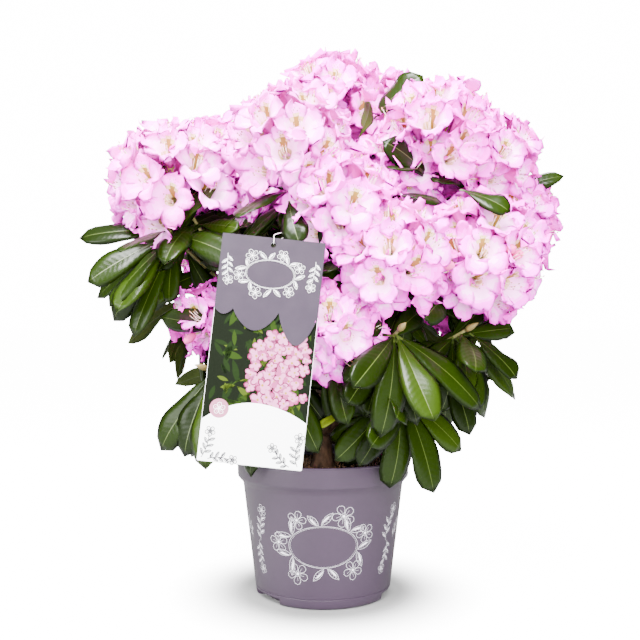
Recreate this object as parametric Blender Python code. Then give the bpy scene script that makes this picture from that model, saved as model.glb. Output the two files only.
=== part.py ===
"""A rhododendron in bloom in its nursery pot, with a hang tag, as separate solids.

Metres, +Z up. The origin is the centre of the pot's flat underside, and -Y is the front.
The trunk carries boughs, each bough carries one mass, and a mass is one fused solid: a stem
that forks into shoots, each shoot ending in a truss of blossom or in a whorl of leaves.
"""

import math
import random

import bmesh
import bpy
from mathutils import Matrix, Vector
from mathutils.bvhtree import BVHTree
from mathutils.geometry import interpolate_bezier

# Clearance between neighbouring solids
GAP = 0.0003

# Pot: a turned container with a collar, read from the bottom up
POT_HEIGHT = 0.181
POT_WALL = 0.002
POT_FLOOR = 0.003
FOOT_RADIUS = 0.0892
FOOT_CHAMFER = 0.0035
SHOULDER_HEIGHT = 0.147
SHOULDER_RADIUS = 0.1065
COLLAR_FOOT_HEIGHT = 0.1556
COLLAR_FOOT_RADIUS = 0.1136
RIM_RADIUS = 0.1150
RIM_LIP = 0.0012
POT_SEGMENTS = 40
NOTCH_ANGLES = (208.0, 350.0, 99.0)
NOTCH_WIDTH = 0.036
NOTCH_HEIGHT = 0.007
NOTCH_DEPTH = 0.0012

# Soil, filling the pot to a little under its rim
SOIL_TOP = 0.163
SOIL_SEGMENTS = 24

# Trunk: from its flat cut at the soil to its fork
TRUNK_TOP = Vector((0.005, 0.003, 0.305))
TRUNK_RADIUS = 0.0120
TRUNK_TOP_RADIUS = 0.0085
FLARE_RADIUS = 0.0185
FLARE_HEIGHT = 0.026
TRUNK_SIDES = 10

# Boughs and twigs
MAIN_BOUGH_RADIUS = 0.0062
SIDE_BOUGH_RADIUS = 0.0044
BOUGH_TAPER = 0.62
BOUGH_SHARE = 0.56
BOUGH_LIFT = Vector((0, 0, 0.45))
CURVE_PULL = 0.38
BOUGH_SIDES = 6
BOUGH_RINGS = 6
FOOT_LENGTH = 0.006
STEM_SIDES = 5
TWIG_SIDES = 3
TWIG_RADIUS = 0.0023
TWIG_RINGS = 4
STEM_SHARE = 0.30
FORK_SHARE = 0.55
CORE = Vector((0.0, 0.0, 0.30))
UPTURN = 0.35

# Leaves
LEAF_LENGTH = 0.118
LEAF_WIDTH = 0.044
LEAF_THICKNESS = 0.0120
PETIOLE_RADIUS = 0.0017
# Along a leaf: the share of its length, half its width there, and the depth of its keel
LEAF_STEPS = ((0.36, 0.46, 1.0), (0.76, 0.40, 0.8))
EDGE_LIFT = 0.10
FIRST_POLAR = math.radians(120)
LAST_POLAR = math.radians(35)
TRUSS_LEAVES = 4
WHORL_LEAVES = 12
GOLDEN_ANGLE = math.radians(137.508)

# Blossom: a full truss of this reach has this many flowers
FULL_TRUSS = 0.075
FULL_TRUSS_FLOWERS = 7
FLOWER_RADIUS = 0.0345
FLOWER_LEAST_RADIUS = 0.029
# Parts of a flower, as shares of its radius: where its tube ends, how deep its throat is,
# how far in its lobes' clefts lie, and how far back
TUBE_END = 1.25
THROAT_DEPTH = 0.80
CLEFT_RADIUS = 0.66
CLEFT_LAG = 0.18
TUBE_RADIUS = 0.0050
PEDICEL_RADIUS = 0.0016
TRUSS_SPREAD = math.radians(112)
MOUTH_SHARE = 0.88
# How far a flower is drawn in where room is short: its size, and how far out its mouth is
FLOWER_FITS = ((1.0, 1.0), (1.0, 0.86), (0.86, 0.90), (0.86, 0.74), (0.74, 0.80), (0.74, 0.62), (0.62, 0.66))
LEAF_FITS = (1.0, 0.86, 0.72)

# Label: a card with a shorter flap over its top, hung on a string
LABEL_TOP = Vector((-0.0548, -0.2000, 0.4520))
LABEL_WIDTH = 0.115
LABEL_LENGTH = 0.252
LABEL_TURN = math.radians(6.0)
LABEL_PITCH = math.radians(5.5)
CARD_THICKNESS = 0.0010
FLAP_LENGTH = 0.083
# Lobes of the flap's lower edge from left to right: share of the width, and depth
FLAP_LOBES = ((0.18, 0.007), (0.44, 0.022), (0.38, 0.034))
LOBE_STEPS = 6
EYELET_RADIUS = 0.0030
EYELET_INSET = 0.0080
STRING_RADIUS = 0.0007
STRING_PLACE = 0.52

# Share of a fused mass's faces that is kept when it is thinned
KEPT_SHARE = 0.745

SEED = 1905

BLOOM = "bloom"
LEAVES = "leaves"
# How far behind its centre a shoot's end begins, as a share of its reach
NECK_SHARE = {BLOOM: 0.62, LEAVES: 0.36}

# Masses: name, what the bough grows from, how far along it, and the shoots' ends.
# Each end is blossom or leaves, with the centre of its space and its reach.
MASSES = (
    ("low_left", "trunk", 0.18, ((LEAVES, (-0.056, -0.116, 0.304), 0.052),
                                 (LEAVES, (-0.140, -0.070, 0.298), 0.058))),
    ("low_back", "trunk", 0.27, ((BLOOM, (-0.105, 0.165, 0.405), 0.076),
                                 (LEAVES, (-0.175, 0.060, 0.395), 0.058),
                                 (LEAVES, (0.035, 0.150, 0.285), 0.055),
                                 (LEAVES, (-0.110, 0.125, 0.290), 0.055))),
    ("low_front", "trunk", 0.32, ((BLOOM, (0.012, -0.150, 0.352), 0.064),
                                  (LEAVES, (0.084, -0.165, 0.346), 0.056),
                                  (LEAVES, (0.096, -0.108, 0.270), 0.054))),
    ("low_right", "trunk", 0.40, ((LEAVES, (0.170, -0.094, 0.345), 0.062),
                                  (LEAVES, (0.172, 0.040, 0.318), 0.056))),
    ("back", "trunk", 0.50, ((BLOOM, (-0.012, 0.200, 0.505), 0.084),
                             (BLOOM, (0.040, 0.185, 0.382), 0.074))),
    ("right", "trunk", 0.55, ((BLOOM, (0.192, -0.098, 0.438), 0.090),
                              (BLOOM, (0.236, 0.000, 0.492), 0.084),
                              (BLOOM, (0.205, 0.055, 0.418), 0.064))),
    ("left", "trunk", 0.60, ((BLOOM, (-0.190, -0.060, 0.534), 0.088),
                             (LEAVES, (-0.193, -0.080, 0.474), 0.068),
                             (BLOOM, (-0.145, -0.045, 0.358), 0.058))),
    ("back_right", "trunk", 0.66, ((BLOOM, (0.145, 0.150, 0.535), 0.084),
                                   (BLOOM, (0.160, 0.135, 0.395), 0.074))),
    ("front", "trunk", 0.72, ((BLOOM, (-0.040, -0.135, 0.565), 0.080),
                              (BLOOM, (0.024, -0.150, 0.492), 0.074),
                              (BLOOM, (0.082, -0.162, 0.430), 0.074))),
    ("upper_left", "trunk", 0.78, ((BLOOM, (-0.150, 0.055, 0.580), 0.070),
                                   (BLOOM, (-0.170, 0.145, 0.500), 0.080),
                                   (BLOOM, (-0.092, 0.010, 0.525), 0.058))),
    ("upper_right", "bough_right", 0.34, ((BLOOM, (0.146, -0.070, 0.590), 0.084),
                                          (BLOOM, (0.216, -0.050, 0.568), 0.062),
                                          (BLOOM, (0.088, -0.060, 0.545), 0.066))),
    ("top", "trunk", 1.00, ((BLOOM, (0.010, -0.020, 0.640), 0.076),
                            (BLOOM, (0.088, 0.066, 0.644), 0.076),
                            (BLOOM, (-0.058, 0.105, 0.600), 0.074))),
)

# Leaf shoots of these masses lean forward by the first number, and their leaves hang by the second
LEANS = {"left": (1.0, 0.28), "low_left": (0.4, 1.45), "low_front": (0.3, 0.90), "low_right": (0.3, 0.95)}
PLAIN_LEAN = (0.0, 0.90)
BLOOM_LEAN = (0.0, 0.30)

COLOURS = {
    "pot": ((0.235, 0.190, 0.260), 0.45),
    "soil": ((0.030, 0.020, 0.014), 0.95),
    "bark": ((0.150, 0.095, 0.055), 0.85),
    "foliage": ((0.900, 0.480, 0.760), 0.60),
    "card": ((0.800, 0.780, 0.800), 0.50),
    "flap": ((0.260, 0.215, 0.290), 0.55),
    "string": ((0.850, 0.840, 0.820), 0.80),
}


def clear_scene():
    for item in list(bpy.data.objects):
        bpy.data.objects.remove(item, do_unlink=True)


def material(kind):
    name = "finish_" + kind
    if name in bpy.data.materials:
        return bpy.data.materials[name]
    colour, roughness = COLOURS[kind]
    made = bpy.data.materials.new(name)
    made.use_nodes = True
    shader = made.node_tree.nodes["Principled BSDF"]
    shader.inputs["Base Color"].default_value = (*colour, 1.0)
    shader.inputs["Roughness"].default_value = roughness
    return made


def add_object(name, bm, kind, smooth=False):
    mesh = bpy.data.meshes.new(name)
    bm.to_mesh(mesh)
    bm.free()
    made = bpy.data.objects.new(name, mesh)
    bpy.context.scene.collection.objects.link(made)
    mesh.materials.append(material(kind))
    if smooth:
        mesh.shade_smooth()
        mesh.set_sharp_from_angle(angle=math.radians(35))
    return made


def replace_mesh(made, mesh):
    old = made.data
    made.data = mesh
    made.modifiers.clear()
    bpy.data.meshes.remove(old)


def applied(made):
    """The object's mesh with its modifiers, as a mesh of its own."""
    bpy.context.view_layer.update()
    graph = bpy.context.evaluated_depsgraph_get()
    return bpy.data.meshes.new_from_object(made.evaluated_get(graph))


def islands(bm):
    """The separate pieces of a mesh, each a set of faces, the largest first."""
    left = set(bm.faces)
    found = []
    while left:
        start = left.pop()
        piece = {start}
        waiting = [start]
        while waiting:
            face = waiting.pop()
            for edge in face.edges:
                for other in edge.link_faces:
                    if other in left:
                        left.remove(other)
                        piece.add(other)
                        waiting.append(other)
        found.append(piece)
    return sorted(found, key=len, reverse=True)


def keep_main_piece(mesh):
    """Merges what coincides, drops loose scraps and fills sealed hollows."""
    bm = bmesh.new()
    bm.from_mesh(mesh)
    bmesh.ops.remove_doubles(bm, verts=bm.verts, dist=1e-6)
    bmesh.ops.dissolve_degenerate(bm, edges=bm.edges, dist=1e-6)
    for piece in islands(bm)[1:]:
        bmesh.ops.delete(bm, geom=list(piece), context="FACES")
    loose = [vert for vert in bm.verts if not vert.link_faces]
    bmesh.ops.delete(bm, geom=loose, context="VERTS")
    bm.to_mesh(mesh)
    bm.free()
    return mesh


def cut_to_triangles(mesh):
    """Cuts the faces to triangles, in the first way that leaves two of them on each edge."""
    for quads, others in (("BEAUTY", "BEAUTY"), ("FIXED", "EAR_CLIP"), ("LONG_EDGE", "EAR_CLIP"),
                          ("SHORT_EDGE", "BEAUTY"), ("ALTERNATE", "BEAUTY")):
        bm = bmesh.new()
        bm.from_mesh(mesh)
        bmesh.ops.triangulate(bm, faces=bm.faces, quad_method=quads, ngon_method=others)
        closed = all(len(edge.link_faces) == 2 for edge in bm.edges)
        if closed:
            bm.to_mesh(mesh)
        bm.free()
        if closed:
            return True
    return False


# Tubes

def curve(start, start_way, end, end_way, rings):
    """Points of a smooth line that leaves start along start_way and reaches end along end_way."""
    pull = (end - start).length * CURVE_PULL
    return interpolate_bezier(start, start + start_way * pull, end - end_way * pull, end, rings)


def tube(bm, points, radii, sides):
    """A closed tube through the points, with flat ends square to it."""
    tangent = (points[1] - points[0]).normalized()
    across = tangent.orthogonal().normalized()
    rings = []
    for index, (point, radius) in enumerate(zip(points, radii)):
        before = points[max(index - 1, 0)]
        after = points[min(index + 1, len(points) - 1)]
        turned = (after - before).normalized()
        across = tangent.rotation_difference(turned) @ across
        tangent = turned
        other = tangent.cross(across)
        ring = []
        for side in range(sides):
            angle = 2 * math.pi * side / sides
            offset = across * math.cos(angle) + other * math.sin(angle)
            ring.append(bm.verts.new(point + offset * radius))
        rings.append(ring)
    for low, high in zip(rings, rings[1:]):
        for side in range(sides):
            following = (side + 1) % sides
            bm.faces.new((low[side], low[following], high[following], high[side]))
    bm.faces.new(reversed(rings[0]))
    bm.faces.new(rings[-1])


def taper(first, last, count):
    return [first + (last - first) * step / (count - 1) for step in range(count)]


def along(points, share):
    """The place and direction at a share of the way along a line of points."""
    place = share * (len(points) - 1)
    index = min(int(place), len(points) - 2)
    point = points[index].lerp(points[index + 1], place - index)
    return point, (points[index + 1] - points[index]).normalized()


# The plan of the plant: where the limbs, the shoots and the masses' spaces are

def shoot_way(centre, forward):
    """The direction that a shoot's end grows in: out from the plant's core, turned up and forward."""
    return ((centre - CORE).normalized() + Vector((0, -forward, UPTURN))).normalized()


def plan_ends():
    ends = []
    for name, _, _, rows in MASSES:
        for kind, place, reach in rows:
            centre = Vector(place)
            forward, hang = BLOOM_LEAN if kind == BLOOM else LEANS.get(name, PLAIN_LEAN)
            way = shoot_way(centre, forward)
            neck = centre - way * (NECK_SHARE[kind] * reach)
            ends.append({"mass": name, "kind": kind, "centre": centre, "reach": reach,
                         "way": way, "neck": neck, "hang": hang})
    return ends


def trunk_line():
    foot = Vector((0.0, 0.0, SOIL_TOP + GAP))
    flare = Vector((0.0, 0.0, SOIL_TOP + FLARE_HEIGHT))
    bend = flare.lerp(TRUNK_TOP, 0.5) + Vector((-0.003, 0.002, 0.0))
    points = [foot, foot + Vector((0, 0, 0.006)), foot.lerp(flare, 0.6), flare, bend, TRUNK_TOP]
    radii = [FLARE_RADIUS, FLARE_RADIUS * 0.86, TRUNK_RADIUS * 1.12, TRUNK_RADIUS,
             (TRUNK_RADIUS + TRUNK_TOP_RADIUS) / 2, TRUNK_TOP_RADIUS]
    return points, radii


def plan_limbs(ends):
    """Line, radii and parent of the trunk and of each bough."""
    points, radii = trunk_line()
    limbs = {"trunk": {"points": points, "radii": radii, "parent": None}}
    for name, parent, share, _ in MASSES:
        necks = [end["neck"] for end in ends if end["mass"] == name]
        aim = sum(necks, Vector()) / len(necks)
        host = limbs[parent]
        if parent == "trunk" and share == 1.0:
            start, way = along(host["points"], 1.0)
            start = start + way * GAP
        elif parent == "trunk":
            height = SOIL_TOP + share * (TRUNK_TOP.z - SOIL_TOP)
            start = trunk_centre(height)
            flat = Vector((aim.x - start.x, aim.y - start.y, 0.0)).normalized()
            way = (flat + BOUGH_LIFT).normalized()
        else:
            start, way = along(host["points"], share)
            way = (way + (aim - start).normalized()).normalized()
        end = start.lerp(aim, BOUGH_SHARE)
        last = ((aim - end).normalized() + BOUGH_LIFT).normalized()
        radius = MAIN_BOUGH_RADIUS if len(necks) > 1 else SIDE_BOUGH_RADIUS
        if parent != "trunk":
            radius = SIDE_BOUGH_RADIUS
        line = [start, *curve(start + way * FOOT_LENGTH, way, end, last, BOUGH_RINGS - 1)]
        limbs["bough_" + name] = {
            "points": line,
            "radii": taper(radius, radius * BOUGH_TAPER, BOUGH_RINGS),
            "parent": parent if share < 1.0 else None,
        }
    return limbs


def trunk_centre(height):
    points, _ = trunk_line()
    for low, high in zip(points, points[1:]):
        if low.z <= height <= high.z:
            return low.lerp(high, (height - low.z) / (high.z - low.z))
    return points[-1]


def plan_twigs(ends, limbs):
    """The mass's stem, on from its bough's tip, and the twigs from the stem to each shoot's end."""
    twigs = {}
    for name, _, _, rows in MASSES:
        limb = limbs["bough_" + name]
        tip, way = along(limb["points"], 1.0)
        radius = limb["radii"][-1]
        own = [end for end in ends if end["mass"] == name]
        aim = sum((end["neck"] for end in own), Vector()) / len(own)
        start = tip + way * GAP
        length = STEM_SHARE * (aim - start).length
        fork = start + way * length
        stem = [start, start.lerp(fork, 0.5), fork]
        lines = [(stem, [radius, radius * 0.95, radius * 0.86], STEM_SIDES)]
        for end in own:
            root = start.lerp(fork, FORK_SHARE)
            line = curve(root, way, end["neck"], end["way"], TWIG_RINGS)
            top = end["centre"] if end["kind"] == BLOOM else end["centre"] + end["way"] * 0.01
            line = line + [top]
            radii = taper(min(TWIG_RADIUS, radius * 0.8), TWIG_RADIUS * 0.72, len(line))
            lines.append((line, radii, TWIG_SIDES))
        twigs[name] = lines
    return twigs


def tube_tree(lines):
    """A search tree of tubes that are each a little thicker than real."""
    bm = bmesh.new()
    for points, radii, sides in lines:
        wide = [(radius + 2 * GAP) / math.cos(math.pi / sides) for radius in radii]
        first = points[0] - (points[1] - points[0]).normalized() * 2 * GAP
        last = points[-1] + (points[-1] - points[-2]).normalized() * 2 * GAP
        tube(bm, [first, *points[1:-1], last], wide, sides)
    tree = BVHTree.FromBMesh(bm)
    bm.free()
    return tree


class Space:
    """What a mass's leaves and flowers keep clear of: the other masses' spaces, limbs, pot and label."""

    def __init__(self, ends, limbs, twigs, others):
        self.ends = ends
        self.trees = {"boughs": tube_tree([(limb["points"], limb["radii"], BOUGH_SIDES)
                                           for limb in limbs.values()])}
        self.trees.update(others)
        for name, lines in twigs.items():
            self.trees[name] = tube_tree(lines)

    def holds(self, points, own):
        """Whether the points are all nearer to their own shoot than to any of another mass."""
        for end in self.ends:
            if end["mass"] == own["mass"]:
                continue
            apart = end["centre"] - own["centre"]
            span = apart.length
            way = apart / span
            limit = (span + (own["reach"] ** 2 - end["reach"] ** 2) / span) / 2 - GAP
            if any((point - own["centre"]).dot(way) > limit for point in points):
                return False
        return True

    def clear(self, bm, mass):
        """Whether a leaf or flower touches no limb, no other mass's twig, pot or label."""
        tree = BVHTree.FromBMesh(bm)
        for name, other in self.trees.items():
            if name != mass and tree.overlap(other):
                return False
        return True

    def takes(self, bm, own):
        return self.holds([vert.co for vert in bm.verts], own) and self.clear(bm, own["mass"])


# Leaves and flowers

def around(way, polar, turn):
    """The direction at a polar angle from way, turned about it."""
    across = way.orthogonal().normalized()
    across = Matrix.Rotation(turn, 3, way) @ across
    return way * math.cos(polar) + across * math.sin(polar)


def leaf(root, way, upper, length, width, droop):
    """One leaf as a thin keeled blade that arches away from its upper side."""
    side = way.cross(upper).normalized()
    upper = side.cross(way).normalized()
    bm = bmesh.new()
    thick = LEAF_THICKNESS * length
    rings = []
    steps = [(0.0, PETIOLE_RADIUS, PETIOLE_RADIUS * 1.6)]
    steps += [(share, width * half, thick * deep) for share, half, deep in LEAF_STEPS]
    for share, half, deep in steps:
        point = root + way * (length * share) - upper * (droop * length * share * share)
        lift = upper * (EDGE_LIFT * half)
        rings.append([bm.verts.new(point + side * half + lift), bm.verts.new(point - side * half + lift),
                      bm.verts.new(point - upper * deep)])
    tip = bm.verts.new(root + way * length - upper * (droop * length + thick * 0.5))
    bm.faces.new(rings[0])
    for low, high in zip(rings, rings[1:]):
        for index in range(3):
            following = (index + 1) % 3
            bm.faces.new((low[index], high[index], high[following], low[following]))
    for index in range(3):
        bm.faces.new((rings[-1][index], tip, rings[-1][(index + 1) % 3]))
    bmesh.ops.recalc_face_normals(bm, faces=bm.faces)
    return bm


def flower(root, mouth, radius, turn):
    """One corolla with its stalk: a stalk, a narrow tube, then a funnel with five lobes."""
    way = (mouth - root).normalized()
    depth = (mouth - root).length
    across = Matrix.Rotation(turn, 3, way) @ way.orthogonal().normalized()
    other = way.cross(across)
    bm = bmesh.new()

    def ring(count, distance, radii):
        made = []
        for index in range(count):
            angle = 2 * math.pi * index / count
            out = across * math.cos(angle) + other * math.sin(angle)
            size = radii[index % len(radii)]
            lag = distance[index % len(distance)]
            made.append(bm.verts.new(root + way * lag + out * size))
        return made

    stalk = ring(3, [0.0], [PEDICEL_RADIUS])
    neck = ring(3, [depth - TUBE_END * radius], [TUBE_RADIUS])
    rim = ring(10, [depth, depth - CLEFT_LAG * radius], [radius, radius * CLEFT_RADIUS])
    throat = bm.verts.new(root + way * (depth - THROAT_DEPTH * radius))
    bm.faces.new(reversed(stalk))
    for index in range(3):
        following = (index + 1) % 3
        bm.faces.new((stalk[index], stalk[following], neck[following], neck[index]))
    bridge = [0, 0, 0, 1, 1, 1, 1, 2, 2, 2]
    for index in range(10):
        following = (index + 1) % 10
        here, there = neck[bridge[index]], neck[bridge[following]]
        bm.faces.new((here, rim[following], rim[index]))
        if here is not there:
            bm.faces.new((here, there, rim[following]))
    for index in range(10):
        bm.faces.new((rim[index], rim[(index + 1) % 10], throat))
    bmesh.ops.recalc_face_normals(bm, faces=bm.faces)
    return bm


def grow_leaves(end, space, rng):
    """The leaves of one shoot, up its last stretch by the golden angle; those without room are left out."""
    grown = []
    bloom = end["kind"] == BLOOM
    count = TRUSS_LEAVES if bloom else WHORL_LEAVES
    for index in range(count):
        share = (index + 0.5) / count
        turn = index * GOLDEN_ANGLE + rng.uniform(-0.25, 0.25)
        if bloom:
            polar = math.radians(rng.uniform(84, 122))
            root = end["neck"] - end["way"] * (0.012 * (1 - share))
        else:
            polar = FIRST_POLAR + (LAST_POLAR - FIRST_POLAR) * share + rng.uniform(-0.14, 0.14)
            root = end["neck"].lerp(end["centre"], share)
        length = LEAF_LENGTH * rng.uniform(0.80, 1.06) * (1.0 if bloom else 1.04)
        width = LEAF_WIDTH * rng.uniform(0.90, 1.08)
        droop = rng.uniform(0.06, 0.30)
        way = around(end["way"], polar, turn)
        way = (way + Vector((0, 0, -end["hang"]))).normalized()
        for size in LEAF_FITS:
            made = leaf(root, way, end["way"], length * size, width * size, droop)
            if space.takes(made, end):
                grown.append(made)
                break
            made.free()
    return grown


def grow_flowers(end, space, rng):
    """The flowers of one truss over its dome; one with too little room is drawn in, or left out."""
    grown = []
    reach = end["reach"]
    count = max(5, round(FULL_TRUSS_FLOWERS * (reach / FULL_TRUSS) ** 2))
    radius = max(FLOWER_LEAST_RADIUS, FLOWER_RADIUS * min(1.0, reach / FULL_TRUSS))
    for index in range(count):
        level = 1 - (index + 0.5) / count * (1 - math.cos(TRUSS_SPREAD))
        turn = index * GOLDEN_ANGLE + rng.uniform(-0.2, 0.2)
        spin = rng.uniform(0, math.tau)
        way = around(end["way"], math.acos(level), turn)
        root = end["neck"].lerp(end["centre"], 0.15 + 0.75 * (level + 1) / 2)
        for size, out in FLOWER_FITS:
            mouth = end["centre"] + way * (reach * MOUTH_SHARE * out)
            made = flower(root, mouth, radius * size, spin)
            if space.takes(made, end):
                grown.append(made)
                break
            made.free()
    return grown


# Solids

def make_tube_object(name, points, radii, sides, kind):
    bm = bmesh.new()
    tube(bm, points, radii, sides)
    return add_object(name, bm, kind, smooth=True)


def make_limbs(limbs):
    """The trunk and the boughs. The foot of a bough is cut to fit round its parent, a gap clear."""
    for name, limb in limbs.items():
        sides = TRUNK_SIDES if name == "trunk" else BOUGH_SIDES
        made = make_tube_object(name, limb["points"], limb["radii"], sides, "bark")
        if limb["parent"] is None:
            continue
        parent = limbs[limb["parent"]]
        wide = [radius + GAP for radius in parent["radii"]]
        sides = TRUNK_SIDES if limb["parent"] == "trunk" else BOUGH_SIDES
        cutter = make_tube_object("cutter", parent["points"], wide, sides, "bark")
        cut = made.modifiers.new("foot", "BOOLEAN")
        cut.operation = "DIFFERENCE"
        cut.solver = "EXACT"
        cut.object = cutter
        foot = keep_main_piece(applied(made))
        cut_to_triangles(foot)
        replace_mesh(made, foot)
        bpy.data.objects.remove(cutter, do_unlink=True)


def join_group(stem, join):
    """The stem fused with the collection's pieces and cut to triangles, or None if it doesn't close."""
    for solver in ("EXACT", "MANIFOLD"):
        join.solver = solver
        joined = keep_main_piece(applied(stem))
        if cut_to_triangles(joined):
            return joined
    return None


def fuse(name, pieces):
    """Joins closed pieces, the first one being the stem, in one solid by one union on a collection.

    Where they don't close, one piece is left out and the rest are joined again.
    """
    group = bpy.data.collections.new(name + "_parts")
    bpy.context.scene.collection.children.link(group)
    for piece in pieces:
        bmesh.ops.triangulate(piece, faces=piece.faces)
    stem = add_object("foliage_" + name, pieces[0], "foliage")
    for index, piece in enumerate(pieces[1:]):
        mesh = bpy.data.meshes.new(f"{name}_{index}")
        piece.to_mesh(mesh)
        piece.free()
        group.objects.link(bpy.data.objects.new(mesh.name, mesh))
    join = stem.modifiers.new("join", "BOOLEAN")
    join.operation = "UNION"
    join.operand_type = "COLLECTION"
    join.collection = group
    joined = join_group(stem, join)
    for part in reversed(group.objects[:]):
        if joined is not None:
            break
        group.objects.unlink(part)
        joined = join_group(stem, join)
        if joined is None:
            group.objects.link(part)
        else:
            bpy.data.objects.remove(part, do_unlink=True)
    if joined is None:
        raise RuntimeError("mass " + name + " doesn't close")
    replace_mesh(stem, joined)
    thin = stem.modifiers.new("thin", "DECIMATE")
    thin.ratio = KEPT_SHARE
    replace_mesh(stem, applied(stem))
    for part in list(group.objects):
        mesh = part.data
        bpy.data.objects.remove(part, do_unlink=True)
        bpy.data.meshes.remove(mesh)
    bpy.data.collections.remove(group)
    return stem


def make_masses(ends, limbs, twigs, others):
    space = Space(ends, limbs, twigs, others)
    for number, (name, _, _, _) in enumerate(MASSES):
        rng = random.Random(SEED + number)
        pieces = []
        for points, radii, sides in twigs[name]:
            bm = bmesh.new()
            tube(bm, points, radii, sides)
            pieces.append(bm)
        for end in ends:
            if end["mass"] != name:
                continue
            if end["kind"] == BLOOM:
                pieces.extend(grow_flowers(end, space, rng))
            pieces.extend(grow_leaves(end, space, rng))
        fuse(name, pieces)


def turned(profile, segments):
    """A closed solid turned about Z from a profile of radius and height that starts and ends on the axis."""
    bm = bmesh.new()
    rings = []
    for radius, height in profile:
        if radius == 0:
            rings.append([bm.verts.new((0, 0, height))])
            continue
        ring = []
        for step in range(segments):
            angle = 2 * math.pi * step / segments
            ring.append(bm.verts.new((radius * math.cos(angle), radius * math.sin(angle), height)))
        rings.append(ring)
    for low, high in zip(rings, rings[1:]):
        for step in range(segments):
            following = (step + 1) % segments
            if len(low) == 1:
                bm.faces.new((low[0], high[following], high[step]))
            elif len(high) == 1:
                bm.faces.new((low[step], low[following], high[0]))
            else:
                bm.faces.new((low[step], low[following], high[following], high[step]))
    bmesh.ops.recalc_face_normals(bm, faces=bm.faces)
    return bm


def pot_inner_radius(height):
    """The inner wall's radius at a height, which follows the outer wall and not the collar."""
    share = min(height, SHOULDER_HEIGHT) / SHOULDER_HEIGHT
    radius = FOOT_RADIUS + (SHOULDER_RADIUS - FOOT_RADIUS) * share
    if height > SHOULDER_HEIGHT:
        rise = min(1.0, (height - SHOULDER_HEIGHT) / (COLLAR_FOOT_HEIGHT - SHOULDER_HEIGHT))
        radius += (COLLAR_FOOT_RADIUS - SHOULDER_RADIUS) * rise
    return radius - POT_WALL


def make_pot():
    lip = RIM_LIP
    profile = [
        (0, 0),
        (FOOT_RADIUS - FOOT_CHAMFER, 0),
        (FOOT_RADIUS, FOOT_CHAMFER),
        (SHOULDER_RADIUS, SHOULDER_HEIGHT),
        (COLLAR_FOOT_RADIUS, COLLAR_FOOT_HEIGHT),
        (RIM_RADIUS - lip / 2, POT_HEIGHT - lip),
        (RIM_RADIUS - lip, POT_HEIGHT),
        (RIM_RADIUS - POT_WALL, POT_HEIGHT - lip / 2),
        (pot_inner_radius(COLLAR_FOOT_HEIGHT), COLLAR_FOOT_HEIGHT),
        (pot_inner_radius(SHOULDER_HEIGHT), SHOULDER_HEIGHT),
        (pot_inner_radius(POT_FLOOR), POT_FLOOR),
        (0, POT_FLOOR),
    ]
    pot = add_object("pot", turned(profile, POT_SEGMENTS), "pot", smooth=True)
    for number, angle in enumerate(NOTCH_ANGLES):
        bm = bmesh.new()
        bmesh.ops.create_cube(bm, size=1.0)
        place = Matrix.Rotation(math.radians(angle), 4, "Z")
        place = place @ Matrix.Translation((FOOT_RADIUS + NOTCH_DEPTH * 4, 0, 0))
        size = Matrix.Diagonal((NOTCH_DEPTH * 14, NOTCH_WIDTH, NOTCH_HEIGHT * 2, 1))
        bmesh.ops.transform(bm, matrix=place @ size, verts=bm.verts)
        cutter = add_object(f"cutter_notch_{number}", bm, "pot")
        cutter.hide_render = True
        cutter.display_type = "WIRE"
        cut = pot.modifiers.new(cutter.name, "BOOLEAN")
        cut.operation = "DIFFERENCE"
        cut.solver = "EXACT"
        cut.object = cutter


def make_soil():
    bottom = POT_FLOOR + GAP
    clear = 2.5 * GAP
    profile = [
        (0, bottom),
        (pot_inner_radius(bottom) - clear, bottom),
        (pot_inner_radius(SHOULDER_HEIGHT) - clear, SHOULDER_HEIGHT),
        (pot_inner_radius(COLLAR_FOOT_HEIGHT) - clear, COLLAR_FOOT_HEIGHT),
        (pot_inner_radius(COLLAR_FOOT_HEIGHT) - clear, SOIL_TOP - 0.003),
        (pot_inner_radius(COLLAR_FOOT_HEIGHT) - 0.008, SOIL_TOP),
        (0, SOIL_TOP),
    ]
    add_object("soil", turned(profile, SOIL_SEGMENTS), "soil", smooth=True)


def label_place():
    """The label's own frame: X across, Z up, -Y to the front, from its top edge's middle."""
    turn = Matrix.Rotation(LABEL_TURN, 4, "Y") @ Matrix.Rotation(-LABEL_PITCH, 4, "X")
    return Matrix.Translation(LABEL_TOP) @ turn


def plate(outline, thickness, place, offset):
    """A flat plate with this outline in X and Z, its back at offset in front of the frame."""
    bm = bmesh.new()
    back = [bm.verts.new((x, -offset, z)) for x, z in outline]
    face = bm.faces.new(back)
    made = bmesh.ops.extrude_face_region(bm, geom=[face])
    moved = [item for item in made["geom"] if isinstance(item, bmesh.types.BMVert)]
    bmesh.ops.translate(bm, vec=(0, -thickness, 0), verts=moved)
    bmesh.ops.recalc_face_normals(bm, faces=bm.faces)
    bmesh.ops.transform(bm, matrix=place, verts=bm.verts)
    return bm


def card_outline(length):
    half = LABEL_WIDTH / 2
    return [(-half, 0), (half, 0), (half, -length), (-half, -length)]


def flap_outline():
    """The flap's outline, with a lower edge of petal-like lobes that grow towards the right."""
    edge = LABEL_WIDTH / 2
    points = [(-edge, 0), (edge, 0), (edge, -FLAP_LENGTH)]
    for width, depth in reversed(FLAP_LOBES):
        for step in range(1, LOBE_STEPS + 1):
            share = step / LOBE_STEPS
            x = edge - width * LABEL_WIDTH * share
            points.append((x, -FLAP_LENGTH - depth * math.sin(math.pi * share)))
        edge -= width * LABEL_WIDTH
    return points


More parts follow.
